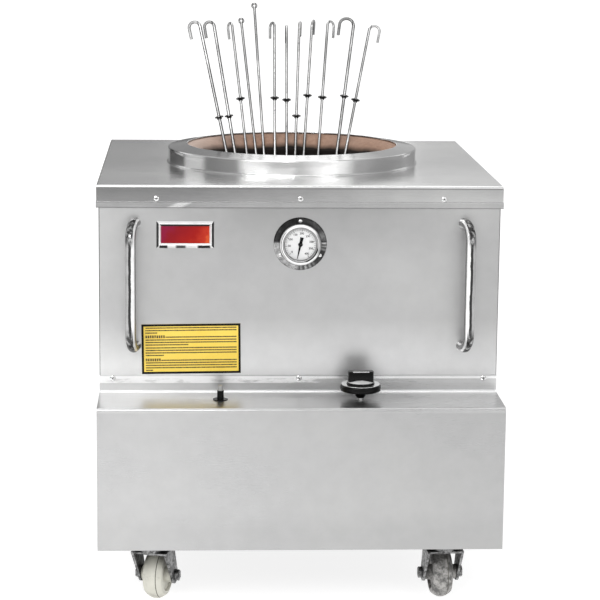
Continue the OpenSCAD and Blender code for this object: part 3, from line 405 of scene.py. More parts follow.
def box_painted_light(s):
    """Painted light: darker on the apron, lighter and darker across the ledge, a painted highlight strip on
    the flange and a painted highlight on the bend where it meets the ledge.
    """
    x, y, z = (s.along(axis) for axis in "XYZ")
    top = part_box("control_box_cover")[1].z
    # painted highlight strip along the flange's top
    highlight_strip = s.product(s.band(z, top - 0.016, top - 0.003, 0.001),
                      s.range(s.noise(30, (1, 1, 4), 3, 0.6), 0.35, 0.5, 0.3, 1.0),
                      s.range(x, 0.02, 0.06, 1.0, 0.1))
    highlight_strip = s.math("MAXIMUM", highlight_strip, s.band(z, top - 0.007, top - 0.003, 0.0008))
    # painted highlight on the bend down to the ledge
    bend = s.product(s.band(z, LEDGE_Z - 0.0015, LEDGE_Z + 0.0035, 0.0008),
                     s.band(y, FRONT_Y - 0.0075, FRONT_Y + 0.001, 0.0008))
    # painted reflection across the ledge, and painted shade on the apron
    flat = s.curve(x, -0.45, 0.45, [(-0.35, 1.2), (0.0, 0.86), (0.18, 0.94), (0.33, 1.1)])
    apron = s.product(s.curve(x, -0.45, 0.45, [(-0.3, 0.9), (0.0, 0.82), (0.3, 0.77)]),
                      s.range(z, 0.22, 0.18, 1.0, 0.94))
    flat = s.lerp(s.math("MAXIMUM", highlight_strip, bend), flat, 1.7)
    return s.lerp(s.range(z, 0.418, 0.428, 0.0, 1.0), apron, flat)


def ring_painted_light(s):
    """The wall keeps its tone; a painted reflection makes the sloping crown darker on the left and away from
    the front.
    """
    turn = s.angle(AXIS.x, AXIS.y)
    # painted reflection round the crown
    crown = s.curve(turn, -180, 180, [(-80, 0.36), (-35, 0.52), (-12, 1.0), (25, 1.0), (45, 0.52)])
    return s.lerp(s.range(s.facing("Z"), 0.55, 0.8, 0.0, 1.0), 1.0, crown)


def handle_painted_light(s, side):
    """Painted reflections: bright on the half towards the middle, a dark streak, a grey outer band, a mottled
    dark outer half on the bends and dark lines at the edges.
    """
    r, foot, splay = 0.0105, 0.332, tan(radians(11))
    centre = s.math("MULTIPLY_ADD", s.along("Y"), -splay)
    centre.node.inputs[2].default_value = foot + FRONT_Y * splay
    inward = s.math("DIVIDE", s.math("SUBTRACT", centre, s.product(s.along("X"), side)), r)
    wobble = s.range(s.noise(34, (1, 1, 1), 5, 0.65, (side, 0, 2)), 0.34, 0.66, -0.08, 0.08)
    wavy = s.math("ADD", inward, wobble)
    low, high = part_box("left_handle")
    mid, half = (low.z + high.z) / 2, (high.z - low.z) / 2
    off_mid = s.math("ABSOLUTE", s.math("SUBTRACT", s.along("Z"), mid))
    bend = s.range(off_mid, half - 0.056, half - 0.036, 0.0, 1.0)
    # painted reflection across the straight tube
    straight = s.curve(wavy, -1, 1, [(-0.85, 0.65), (-0.26, 0.5), (-0.16, 0.04), (0.28, 0.03), (0.37, 1.0)])
    mottle = s.greys(s.noise(130, (1, 1, 0.5), 5, 0.65), [(0.4, 0.02), (0.52, 0.08), (0.6, 0.5)])
    curved = s.lerp(s.range(wavy, 0.56, 0.66, 0.0, 1.0), mottle, 1.0)
    # painted dark lines along the tube's edges
    rims = s.curve(inward, -1.1, 1.1, [(-0.98, 0.9), (-0.93, 0.35), (-0.87, 0.35), (-0.82, 1.0), (0.86, 1.0),
                                       (0.95, 0.2)])
    return s.product(s.lerp(bend, straight, curved), rims)


def flange_painted_light(s):
    """Painted reflections: light and dark bands that change round the thermometer's mounting flange, with
    random scuffs in the grain.
    """
    x, z = thermo_centre()
    turn = s.clock(x, z)
    # painted reflection bands round the flange
    tone = s.curve(turn, -180, 180, [
        (-179, 0.1), (-172, 0.5), (-100, 0.62), (-88, 0.5), (-84, 0.06), (-40, 0.045), (-8, 0.03),
        (20, 0.07), (58, 0.08), (64, 0.2), (82, 0.2), (85, 0.03), (88, 0.7), (92, 0.03), (96, 0.4),
        (99, 0.03), (104, 0.3), (108, 0.05), (140, 0.06), (146, 0.2), (151, 0.04), (156, 0.5),
        (161, 0.04), (167, 0.55), (172, 0.04), (176, 0.3)])
    grain = s.range(s.noise(90, (1, 1, 1), 5, 0.65), 0.35, 0.7, 0.6, 1.6)
    return s.product(tone, grain)


def bezel_painted_light(s):
    """Painted reflections: a bright bezel between dark lines, a painted dark line on the left, painted shade
    on the right and a shaded crescent inside at the lower right.
    """
    x, z = thermo_centre()
    out, turn = s.reach(x, z), s.clock(x, z)
    rings = s.curve(out, 0.033, 0.045, [
        (0.0345, 0.5), (0.0351, 0.12), (0.0358, 0.12), (0.0364, 1.0), (0.0408, 1.0), (0.0416, 0.25),
        (0.0424, 0.12)])
    left = s.band(turn, -130, -55, 12)
    # groove is a painted dark line of reflection on the left, not a cut
    groove = s.product(left, s.band(out, 0.0386, 0.0395, 0.0003))
    shade = s.product(s.band(turn, 62, 112, 14), s.band(out, 0.0376, 0.043, 0.0006))
    crescent = s.product(s.band(turn, 105, 158, 10), s.band(out, 0.034, 0.0366, 0.0003))
    rings = s.product(rings, s.range(groove, 0.0, 1.0, 1.0, 0.08), s.range(shade, 0.0, 1.0, 1.0, 0.4))
    return s.product(rings, s.range(crescent, 0.0, 1.0, 1.0, 0.05))


def badge_painted_light(s):
    """Painted reflections on the chrome frame: bright top slope, dark left and right slopes, and light and
    dark patches along the bottom.
    """
    low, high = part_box("badge_frame")
    mid = (low + high) / 2
    x = s.math("SUBTRACT", s.along("X"), mid.x)
    z = s.math("SUBTRACT", s.along("Z"), mid.z)
    half_w, half_h = (high.x - low.x) / 2, (high.z - low.z) / 2
    patches = s.curve(x, -0.06, 0.06, [
        (-0.053, 0.9), (-0.051, 0.02), (-0.037, 0.02), (-0.034, 1.0), (-0.021, 1.0), (-0.017, 0.1),
        (-0.001, 0.1), (0.003, 1.0), (0.023, 1.0), (0.027, 0.02), (0.049, 0.02), (0.052, 1.0)])
    top = s.curve(z, 0.0, 0.03, [(half_h - 0.0088, 0.03), (half_h - 0.0064, 0.06), (half_h - 0.0056, 1.0)])
    low_side = s.math("MULTIPLY", z, -1.0)
    inner = s.range(low_side, half_h - 0.0066, half_h - 0.0058, 0.0, 1.0)
    bottom = s.lerp(inner, 1.0, patches)
    upright = s.lerp(s.range(z, -0.001, 0.001, 0.0, 1.0), bottom, top)
    side = s.math("ABSOLUTE", x)
    flank = s.curve(side, 0.04, 0.06, [
        (half_w - 0.0052, 1.0), (half_w - 0.0046, 0.08), (half_w - 0.0015, 0.05)])
    corner = s.math("SUBTRACT", s.math("SUBTRACT", half_w, side),
                    s.math("SUBTRACT", half_h, s.math("ABSOLUTE", z)))
    return s.lerp(s.range(corner, -0.0003, 0.0003, 0.0, 1.0), flank, upright)


def thermo_centre():
    """X and Z of the thermometer's axis."""
    mid = (DIAL_LOW + DIAL_HIGH) / 2
    return mid.x, mid.z


def bright_metal(name, tone, rough, metallic=1.0, grain=60, edge=0.0004, tint=(1, 1, 1), rim=1.0,
                 painted_light_by=None):
    """Plated or polished metal with faint scuffs; a rim below 1 darkens it at grazing angles;
    painted_light_by paints highlights, reflections and shade into its colour.
    """
    s = Shader(name)
    s.bevel(edge)
    s.set("Metallic", metallic)
    s.set("Specular Tint", (rim, rim, rim, 1.0))
    scuff = s.noise(grain, (1, 1, 1), 6, 0.65)
    low = tuple(tone * 0.88 * c for c in tint)
    high = tuple(min(tone * 1.06 * c, 1.0) for c in tint)
    colour = s.ramp(scuff, [(0.32, low), (0.68, high)])
    # painted light and shade from painted_light_by multiplied into the colour
    s.set("Base Color", s.mix(1.0, colour, painted_light_by(s), "MULTIPLY") if painted_light_by else colour)
    s.set("Roughness", s.range(scuff, 0.3, 0.75, rough * 0.8, rough * 1.35))
    s.bump(scuff, 0.04, 0.0003)
    return s.mat


def skewer_metals():
    """One metal for each skewer."""
    return {joint["child"]: skewer_metal(joint["child"], Vector(joint["axis"]).normalized())
            for joint in frame["joints"] if joint["name"].startswith("lift_skewer")}


def rod_foot(points, axis):
    """Middle of a skewer's lower end and a radius just over the rod's."""
    low = min(p.dot(axis) for p in points)
    end = [p for p in points if p.dot(axis) < low + 0.0002]
    foot = sum(end, Vector()) / len(end)
    shaft = [p - foot for p in points if p.dot(axis) < low + 0.1]
    return foot, max((out - axis * out.dot(axis)).length for out in shaft) + 0.0001


def skewer_metal(node, axis):
    """Bright steel with painted dark sides that follow the skewer's own rod from the middle of its foot, and
    darker tarnish patches.
    """
    foot, r = rod_foot([v.co for v in NODES[node].data.vertices], axis)
    tone = 0.94 if r < ROD_R_THICK else 0.75
    return bright_metal(node + "_steel", tone, 0.3, 0.55, 90, painted_light_by=lambda s: rod_shade_and_tarnish(s, foot, axis, r))


def rod_shade_and_tarnish(s, foot, axis, r):
    """Painted shade: dark lines along both sides of a rod that starts at foot; and a darker tarnish patch
    here and there.
    """
    lean = axis.x / axis.z
    centre = s.math("MULTIPLY_ADD", s.along("Z"), lean)
    centre.node.inputs[2].default_value = foot.x - foot.z * lean
    side = s.math("DIVIDE", s.math("SUBTRACT", s.along("X"), centre), r)
    # painted dark sides of the rod
    line = s.curve(side, -2, 2, [
        (-1.6, 0.6), (-1.1, 0.2), (-0.62, 0.1), (-0.32, 0.92), (0.3, 0.92), (0.58, 0.08), (1.1, 0.16),
        (1.6, 0.6)])
    patch = s.range(s.noise(14, (1, 1, 1), 2, 0.5, tuple(foot)), 0.42, 0.62, 1.0, 0.55)
    return s.product(line, patch)


def paint(name, colour, rough=0.45, speckle=0.25, grain=300, gloss=0.5, bump=0.08, edge=0.0006):
    """Paint, enamel or moulded plastic with fine orange peel and some variation of tone."""
    s = Shader(name)
    s.bevel(edge)
    peel = s.noise(grain, (1, 1, 1), 3, 0.6)
    patch = s.noise(9, (1, 1, 1), 4, 0.6, (2, 3, 1))
    dark = tuple(c * (1 - speckle) for c in colour)
    light = tuple(min(c * (1 + speckle), 1.0) for c in colour)
    s.set("Base Color", s.mix(0.4, s.ramp(patch, [(0.3, dark), (0.7, light)]),
                              s.ramp(peel, [(0.35, dark), (0.65, light)])))
    s.set("Roughness", s.range(patch, 0.3, 0.7, rough * 0.85, rough * 1.15))
    s.set("Specular IOR Level", gloss)
    s.bump(peel, bump, 0.0003)
    return s.mat


def fired_clay():
    """Tan clay at the rim; below the neck it is near black, for soot and painted shade."""
    s = Shader("fired_clay")
    s.set("Roughness", 0.92)
    grain = s.noise(130, (1, 1, 1), 6, 0.65)
    patch = s.noise(11, (1, 1, 2.5), 5, 0.6)
    fine = s.ramp(grain, [(0.3, (0.3, 0.17, 0.115)), (0.7, (0.46, 0.29, 0.205))])
    tan_clay = s.mix(s.range(patch, 0.3, 0.75, 0.0, 0.6), fine, (0.36, 0.25, 0.2))
    wobble = s.range(s.noise(7, (1, 1, 0.4), 4), 0.3, 0.7, -0.007, 0.007)
    height = s.math("ADD", s.along("Z"), wobble)
    # near black below the neck: soot and painted shade
    soot_and_shade = s.range(height, POT_HIGH.z - 0.029, POT_HIGH.z - 0.017, 1.0, 0.0)
    pale = s.range(s.along("X"), -0.1, -0.21, 0.0, 0.7)
    tan_clay = s.mix(pale, tan_clay, (0.6, 0.48, 0.42))
    s.set("Base Color", s.mix(soot_and_shade, tan_clay, (0.012, 0.008, 0.006)))
    s.bump(patch, 0.25, 0.004)
    s.bump(grain, 0.35, 0.0012)
    return s.mat


def mineral_wool():
    """Yellow-brown fibre wool."""
    s = Shader("mineral_wool_fibre")
    s.set("Roughness", 1.0)
    fibre = s.noise(220, (1, 0.25, 1), 6, 0.75)
    s.set("Base Color", s.ramp(fibre, [(0.3, (0.42, 0.36, 0.2)), (0.7, (0.74, 0.68, 0.48))]))
    s.bump(fibre, 0.8, 0.003)
    return s.mat


def cast_iron():
    """Rough dark iron with patches of rust."""
    s = Shader("cast_iron_rough")
    s.bevel(0.001)
    s.set("Metallic", 0.7)
    pits = s.noise(240, (1, 1, 1), 6, 0.7)
    rust = s.noise(16, (1, 1, 1), 5, 0.6)
    iron = s.ramp(pits, [(0.3, (0.05, 0.05, 0.052)), (0.7, (0.13, 0.13, 0.135))])
    s.set("Base Color", s.mix(s.range(rust, 0.55, 0.75, 0.0, 0.7), iron, (0.16, 0.07, 0.035)))
    s.set("Roughness", s.range(rust, 0.3, 0.7, 0.55, 0.85))
    s.bump(pits, 0.5, 0.0012)
    return s.mat


def badge_enamel():
    """Enamel that runs from crimson on the left to orange-red on the right."""
    low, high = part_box("badge_plate")
    s = Shader("badge_enamel")
    across = s.range(s.along("X"), low.x, high.x, 0.0, 1.0)
    patch = s.noise(40, (1, 1, 1), 4, 0.6)
    across = s.math("ADD", across, s.range(patch, 0.3, 0.7, -0.1, 0.1))
    down = s.range(s.along("Z"), high.z, low.z, -0.16, 0.1)
    s.set("Base Color", s.ramp(s.math("ADD", across, down), [
        (0.02, (0.21, 0.008, 0.035)), (0.2, (0.22, 0.006, 0.012)), (0.65, (0.29, 0.008, 0.006)),
        (0.95, (0.42, 0.03, 0.012)), (1.1, (0.5, 0.07, 0.02))]))
    s.set("Roughness", s.range(patch, 0.3, 0.7, 0.3, 0.45))
    s.set("Specular IOR Level", 0.12)
    s.bump(patch, 0.05, 0.0005)
    return s.mat


def notice_print():
    """Yellow sheet, a little uneven."""
    s = Shader("notice_print")
    patch = s.noise(9, (1, 1, 1), 4, 0.6)
    grain = s.noise(400, (1, 1, 1), 2, 0.5)
    s.set("Base Color", s.mix(0.2, s.ramp(patch, [(0.3, (0.79, 0.55, 0.06)), (0.7, (0.84, 0.62, 0.1))]),
                              s.ramp(grain, [(0.3, (0.72, 0.5, 0.06)), (0.7, (0.87, 0.66, 0.12))])))
    s.set("Roughness", s.range(patch, 0.3, 0.7, 0.35, 0.5))
    s.bump(grain, 0.04, 0.0003)
    return s.mat


def dial_white():
    """White enamel with a grey ring where the case shades it and a black bush under the needle."""
    s = Shader("dial_white")
    out = s.reach(*thermo_centre())
    patch = s.noise(60, (1, 1, 1), 4, 0.6)
    white = s.greys(patch, [(0.3, 0.66), (0.7, 0.74)])
    ring = s.curve(out, 0.0, 0.04, [(0.0026, 0.01), (0.003, 1.0), (0.0312, 1.0), (0.032, 0.35), (0.0332, 0.3),
                                    (0.034, 0.75)])
    s.set("Base Color", s.mix(1.0, white, ring, "MULTIPLY"))
    s.set("Roughness", s.range(patch, 0.3, 0.7, 0.4, 0.5))
    s.bump(patch, 0.04, 0.0002)
    return s.mat


def clear_glass():
    """A clear pane, a little uneven."""
    s = Shader("clear_glass_pane")
    s.base((1.0, 1.0, 1.0))
    s.set("Roughness", s.range(s.noise(30), 0.3, 0.7, 0.0, 0.04))
    s.set("Transmission Weight", 1.0)
    s.set("IOR", 1.45)
    s.set("Alpha", 0.1)
    return s.mat


def wheel_cream():
    """Cream moulded tread with scuffs and dirt worked into it."""
    s = Shader("wheel_cream")
    dirt = s.noise(34, (1, 1, 1), 6, 0.65)
    patch = s.noise(8, (1, 1, 1), 4, 0.6, (4, 4, 4))
    clean = s.ramp(patch, [(0.3, (0.5, 0.49, 0.42)), (0.7, (0.64, 0.63, 0.56))])
    tread = s.mix(s.range(dirt, 0.52, 0.8, 0.0, 0.75), clean, (0.2, 0.19, 0.17))
    soiled = s.mix(s.range(s.noise(60, (1, 1, 1), 5, 0.7), 0.42, 0.6, 0.0, 1.0), (0.1, 0.098, 0.094),
                   (0.4, 0.39, 0.375))
    s.set("Base Color", s.mix(s.range(s.along("X"), -0.1, 0.1, 0.0, 1.0), tread, soiled))
    s.set("Roughness", s.range(patch, 0.3, 0.7, 0.4, 0.6))
    s.bump(dirt, 0.2, 0.0008)
    return s.mat


def caster_steel():
    """Dull zinc with dark speckles and painted shade in its hollows from ambient occlusion."""
    s = Shader("caster_speckled")
    s.bevel(0.0008)
    s.set("Metallic", 0.85)
    dots = s.noise(110, (1, 1, 1), 6, 0.75)
    zinc = s.greys(dots, [(0.38, 0.05), (0.5, 0.22), (0.68, 0.5)])
    # ambient occlusion paints shade into the colour where parts crowd round
    hollow_shade = s.tree.nodes.new("ShaderNodeAmbientOcclusion")
    hollow_shade.inputs["Distance"].default_value = 0.03
    s.set("Base Color", s.mix(1.0, zinc, s.range(hollow_shade.outputs["AO"], 0.35, 0.85, 0.05, 1.0), "MULTIPLY"))
    s.set("Roughness", s.range(dots, 0.3, 0.7, 0.6, 0.35))
    s.bump(dots, 0.15, 0.0006)
    return s.mat


def broken_print():
    """Black print so small that the yellow sheet shows through it."""
    s = Shader("print_lines")
    s.set("Roughness", 0.6)
    strokes = s.noise(520, (1, 1, 0.35), 3, 0.7)
    s.set("Base Color", s.ramp(strokes, [(0.44, (0.012, 0.01, 0.004)), (0.62, (0.3, 0.21, 0.035))]))
    s.bump(strokes, 0.03, 0.0002)
    return s.mat


def make_materials():
    """Every look by its short name."""
    return {
        "cover": brushed_steel("steel_cover", 0.58, (1, 40, 40), 0.2, 0.13, 0.12, 0.0006, cover_painted_light),
        "panel": brushed_steel("steel_panel", 0.535, (1, 1, 60), 0.36, 0.06, 0.15, painted_light_by=panel_painted_light),
        "box": brushed_steel("steel_box", 0.6, (1, 30, 60), 0.3, 0.06, 0.15, painted_light_by=box_painted_light),
        "ring": brushed_steel("steel_ring", 0.86, (1, 1, 30), 0.13, 0.1, 0.2, 0.0016, ring_painted_light),
        "left_handle": bright_metal("steel_handle_left", 0.94, 0.2, 0.5,
                                    painted_light_by=lambda s: handle_painted_light(s, -1)),
        "right_handle": bright_metal("steel_handle_right", 0.94, 0.2, 0.5,
                                     painted_light_by=lambda s: handle_painted_light(s, 1)),
        "clay": fired_clay(),
        "wool": mineral_wool(),
        "iron": cast_iron(),
        "frame_paint": paint("frame_dark_paint", (0.035, 0.035, 0.038), 0.5, 0.3),
        "black_pipe": paint("pipe_black", (0.02, 0.02, 0.021), 0.5, 0.3, 220, 0.5, 0.2),
        "brass": bright_metal("valve_brass_metal", 0.8, 0.3, tint=(0.9, 0.62, 0.26)),
        "tube": bright_metal("tube_steel", 0.66, 0.26),
        "silicone": paint("lead_red", (0.33, 0.03, 0.02), 0.55, 0.2),
        "copper": bright_metal("lead_copper", 0.8, 0.3, tint=(0.9, 0.5, 0.34)),
        "plastic": paint("plastic_black", (0.004, 0.004, 0.004), 0.22, 0.3, 500, 0.14, 0.04),
        "groove": paint("groove_dark", (0.07, 0.065, 0.05), 0.7, 0.3),
        "zinc": bright_metal("zinc_plate", 0.55, 0.35, tint=(1, 1, 0.97)),
        "flange": bright_metal("flange_chrome", 0.94, 0.24, painted_light_by=flange_painted_light),
        "bezel": bright_metal("bezel_chrome", 0.96, 0.2, 0.4, painted_light_by=bezel_painted_light),
        "badge": bright_metal("badge_chrome", 0.96, 0.22, 0.5, painted_light_by=badge_painted_light),
        "dial": dial_white(),
        "glass": clear_glass(),
        "enamel": badge_enamel(),
        "notice": notice_print(),
        # black print, also the painted shade in the screw recesses
        "ink_and_shade": paint("print_and_shade_black", (0.004, 0.004, 0.0035), 0.6, 0.3, gloss=0.2),
        "lines": broken_print(),
        "screw": bright_metal("screw_bright", 0.8, 0.16),
        "knob_band": bright_metal("knob_band", 0.9, 0.22),
        "grey_plastic": paint("button_grey", (0.3, 0.3, 0.29), 0.4, 0.15),
        "needle": paint("needle_black", (0.002, 0.002, 0.002), 0.5, 0.3, gloss=0.1),
        "knob_slope_highlight": bright_metal("knob_slope_highlight", 0.75, 0.5, 0.3),
        "cream": wheel_cream(),
        "caster": caster_steel(),
        **skewer_metals(),
        "stop_disc": paint("stop_black", (0.004, 0.004, 0.004), 0.42, 0.3, gloss=0.2),
    }


LOOKS = {
    "top_cover": "cover", "mouth_ring": "ring", "clay_pot": "clay", "insulation": "wool",
    "front_panel": "panel", "left_side_panel": "panel", "right_side_panel": "panel",
    "rear_panel": "panel", "left_handle": "left_handle", "right_handle": "right_handle",
    "base_frame": "frame_paint", "burner_deck": "frame_paint", "control_box_cover": "box",
    "gas_inlet_pipe": "black_pipe", "gas_valve_body": "brass", "gas_manifold": "tube",
    "burner": "iron", "heat_deflector": "iron", "pilot_burner": "tube",
    "igniter_lead": "silicone", "thermocouple_lead": "copper", "igniter_body": "plastic",
    "igniter_nut": "zinc", "thermometer_flange": "flange", "thermometer_case": "bezel",
    "thermometer_dial": "dial", "thermometer_glass": "glass", "badge_frame": "badge",
    "badge_plate": "enamel", "notice_plate": "notice", "cabinet_screws": "screw",
    "thermometer_screws": "screw", "caster_plates": "zinc", "caster_bolts": "zinc",
    "valve_stem": "tube", "knob": "plastic", "knob_ring": "knob_band",
    "igniter_button": "grey_plastic", "thermometer_needle": "needle", "air_shutter": "zinc",
    "caster_fork": "caster", "caster_wheel": "cream",
}


def look_of(node):
    """Name of the look that a frame node gets."""
    if node in LOOKS:
        return LOOKS[node]
    if node.startswith("skewer"):
        return node
    return LOOKS[next(kind for kind in ("caster_fork", "caster_wheel") if node.startswith(kind))]


def dress_frame(looks):
    """Gives each frame node its look."""
    for name, node in NODES.items():
        node.material_slots[0].material = looks[look_of(name)]


# Mesh helpers


def new_mesh(name, verts, faces, smooth=False):
    """An object made from corners and faces and linked to the scene."""
    mesh = bpy.data.meshes.new(name)
    mesh.from_pydata([tuple(v) for v in verts], [], faces)
    mesh.validate()
    made = bpy.data.objects.new(name, mesh)
    bpy.context.scene.collection.objects.link(made)
    if smooth:
        for face in mesh.polygons:
            face.use_smooth = True
    return made


def bevelled(obj, width, segments=3, angle=35):
    """Rounds the piece's edges for good."""
    mod = obj.modifiers.new("round", "BEVEL")
    mod.width = width
    mod.segments = segments
    mod.limit_method = "ANGLE"
    mod.angle_limit = radians(angle)
    mod.harden_normals = False
    graph = bpy.context.evaluated_depsgraph_get()
    mesh = bpy.data.meshes.new_from_object(obj.evaluated_get(graph))
    obj.modifiers.clear()
    obj.data = mesh
    for face in mesh.polygons:
        face.use_smooth = True
    mesh.set_sharp_from_angle(angle=radians(50))
    return obj


def prism(name, outline, start, end, place):
    """A closed solid between two heights of one outline, set down by the place matrix."""
    n = len(outline)
    verts = [place @ Vector((x, y, z)) for z in (start, end) for x, y in outline]
    faces = [tuple(range(n - 1, -1, -1)), tuple(range(n, 2 * n))]
    faces += [(i, (i + 1) % n, n + (i + 1) % n, n + i) for i in range(n)]
    return new_mesh(name, verts, faces)


def lathe(name, profile, place, steps=96):
    """A turned shape: profile is a closed list of radius and height."""
    n = len(profile)
    verts = []
    for k in range(steps):
        a = 2 * pi * k / steps
        verts += [place @ Vector((r * cos(a), r * sin(a), z)) for r, z in profile]
    faces = []
    for k in range(steps):
        a, b = k * n, (k + 1) % steps * n
        faces += [(a + i, b + i, b + (i + 1) % n, a + (i + 1) % n) for i in range(n)]
    made = new_mesh(name, verts, faces, True)
    merged = bmesh.new()
    merged.from_mesh(made.data)
    bmesh.ops.remove_doubles(merged, verts=merged.verts, dist=1e-7)
    bmesh.ops.recalc_face_normals(merged, faces=merged.faces)
    merged.to_mesh(made.data)
    merged.free()
    made.data.set_sharp_from_angle(angle=radians(40))
    return made


def joined(name, pieces):
    """One object from several loose ones that share a material."""
    merged = bmesh.new()
    for piece in pieces:
        merged.from_mesh(piece.data)
    mesh = bpy.data.meshes.new(name)
    merged.to_mesh(mesh)
    merged.free()
    for piece in pieces:
        bpy.data.objects.remove(piece)
    made = bpy.data.objects.new(name, mesh)
    bpy.context.scene.collection.objects.link(made)
    return made


def finish_piece(obj, look, body):
    """Dresses a made piece and joins it to its body and slot."""
    obj.data.materials.clear()
    obj.data.materials.append(look)
    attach(obj, body)
    return obj


# Knob


def chord_cut(r, half, steps=10):
    """A circle of radius r cut by two chords at plus and minus half."""
    turn = asin(half / r)
    right = [(r * cos(a), r * sin(a)) for a in [turn * (2 * i / steps - 1) for i in range(steps + 1)]]
    return right + [(-x, -y) for x, y in right]


def loft(name, levels, place):
    """A closed solid through outlines of one point count at rising heights."""
    n = len(levels[0][1])
    verts = [place @ Vector((x, y, z)) for z, outline in levels for x, y in outline]
    faces = [tuple(range(n - 1, -1, -1)), tuple(range((len(levels) - 1) * n, len(levels) * n))]
    for k in range(len(levels) - 1):
        faces += [(k * n + i, k * n + (i + 1) % n, (k + 1) * n + (i + 1) % n, (k + 1) * n + i)
                  for i in range(n)]
    return new_mesh(name, verts, faces)


def make_knob(looks):
    """Black base on its cone, a hub whose light grey sloping top is a painted highlight of the bar's curved
    foot, and a bar cut from a cylinder with a bright strip along its top front edge as a painted highlight.
    """
    ring_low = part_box("knob_ring")[0].z
    mid = (KNOB_LOW + KNOB_HIGH) / 2
    r = (KNOB_HIGH.x - KNOB_LOW.x) / 2
    place = Matrix.Translation((mid.x, mid.y, ring_low))
    low, foot, top = KNOB_LOW.z - ring_low, -0.013, KNOB_HIGH.z - ring_low
    hub_r, hub_h, bore = 0.0279, 0.005, 0.0052
    base = lathe("knob_base", [
        (bore, low), (0.0074, low), (0.008, low + 0.0006), (0.017, foot), (r - 0.002, foot),
        (r - 0.0006, foot + 0.0008), (r, foot + 0.0022), (r, -0.0042), (r - 0.0005, -0.0026),
        (r - 0.0015, -0.001), (r - 0.003, 0.0), (hub_r, 0.0), (hub_r, hub_h - 0.001),
        (hub_r - 0.001, hub_h), (bore, hub_h)], place)
    bar_r, half = 0.0262, 0.011
    rim = 0.0022
    levels = [(hub_h - 0.0005, chord_cut(bar_r, half)), (top - rim, chord_cut(bar_r, half))]
    levels += [(top - rim + rim * sin(a), chord_cut(bar_r - rim * (1 - cos(a)), half - rim * (1 - cos(a))))
               for a in (radians(30), radians(60), radians(90))]
    bar = bevelled(loft("knob_bar", levels, place), 0.0009, 3, 45)
    knob = joined("knob_grip", [base, bar])
    for face in knob.data.polygons:
        face.use_smooth = True
    knob.data.set_sharp_from_angle(angle=radians(40))
    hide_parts("knob")
    finish_piece(knob, looks["plastic"], "knob")

    # the light grey slope is a painted highlight of the bar's curved foot
    rise = 0.0042
    slope = lathe("knob_slope_highlight", [
        (bore, hub_h - 0.0004), (hub_r - 0.0012, hub_h - 0.0004), (hub_r - 0.0014, hub_h + 0.0003),
        (half, hub_h + rise), (bore, hub_h + rise)], place)
    finish_piece(slope, looks["knob_slope_highlight"], "knob")

    # a bright metal strip along the bar's top front edge, a painted highlight of its bevel
    y, z = -half - 0.0001, top - rim
    highlight_strip = prism("knob_highlight_strip", [(-0.0165, -0.0011), (0.0165, -0.0011), (0.0165, 0.0011), (-0.0165, 0.0011)],
                  -0.0004, 0.0006, place @ Matrix.Translation((0, y + 0.0011, z + 0.0014))
                  @ Matrix.Rotation(radians(45), 4, "X"))
    finish_piece(highlight_strip, looks["knob_band"], "knob")


# Thermometer dial


def dial_place(depth):
    """Local X to the right, local Y up and local Z out of the dial's face."""
    mid = (DIAL_LOW + DIAL_HIGH) / 2
    turn = Matrix(((1, 0, 0), (0, 0, -1), (0, 1, 0))).to_4x4()
    return Matrix.Translation((mid.x, depth, mid.z)) @ turn


def make_dial(looks):
    """Ticks and plain numbers round three quarters of the dial."""
    face_y = FRONT_Y - 0.0105
    place = dial_place(face_y)
    first, last, count = 228, 505.5, 9
    pieces = []
    for i in range(4 * (count - 1) + 1):
        a = radians(90 - (first + (last - first) * i / (4 * (count - 1))))
        long = i % 4 == 0
        inner, outer, half = (0.0263 if long else 0.0281), 0.0308, (0.0004 if long else 0.00022)
        along, side = Vector((cos(a), sin(a), 0)), Vector((-sin(a), cos(a), 0))
        corners = [along * inner - side * half, along * outer - side * half,
                   along * outer + side * half, along * inner + side * half]
        pieces.append(prism("tick", [(c.x, c.y) for c in corners], 0.0, 0.00012, place))
    ticks = joined("dial_ticks", pieces)
    finish_piece(ticks, looks["ink_and_shade"], "oven")

    for i in range(count):
        a = radians(90 - (first + (last - first) * i / (count - 1)))
        data = bpy.data.curves.new(f"dial_number_{i + 1}", "FONT")
        data.body = str(50 * i)
        data.size = 0.0058
        data.align_x = "CENTER"
        data.align_y = "CENTER"
        data.extrude = 0.00005
        data.offset = 0.00012
        number = bpy.data.objects.new(f"dial_number_{i + 1}", data)
        bpy.context.scene.collection.objects.link(number)
        number.matrix_world = place @ Matrix.Translation((0.0226 * cos(a), 0.0226 * sin(a), 0.00006))
        data.materials.append(looks["ink_and_shade"])
        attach(number, "oven")


# Notice plate and badge


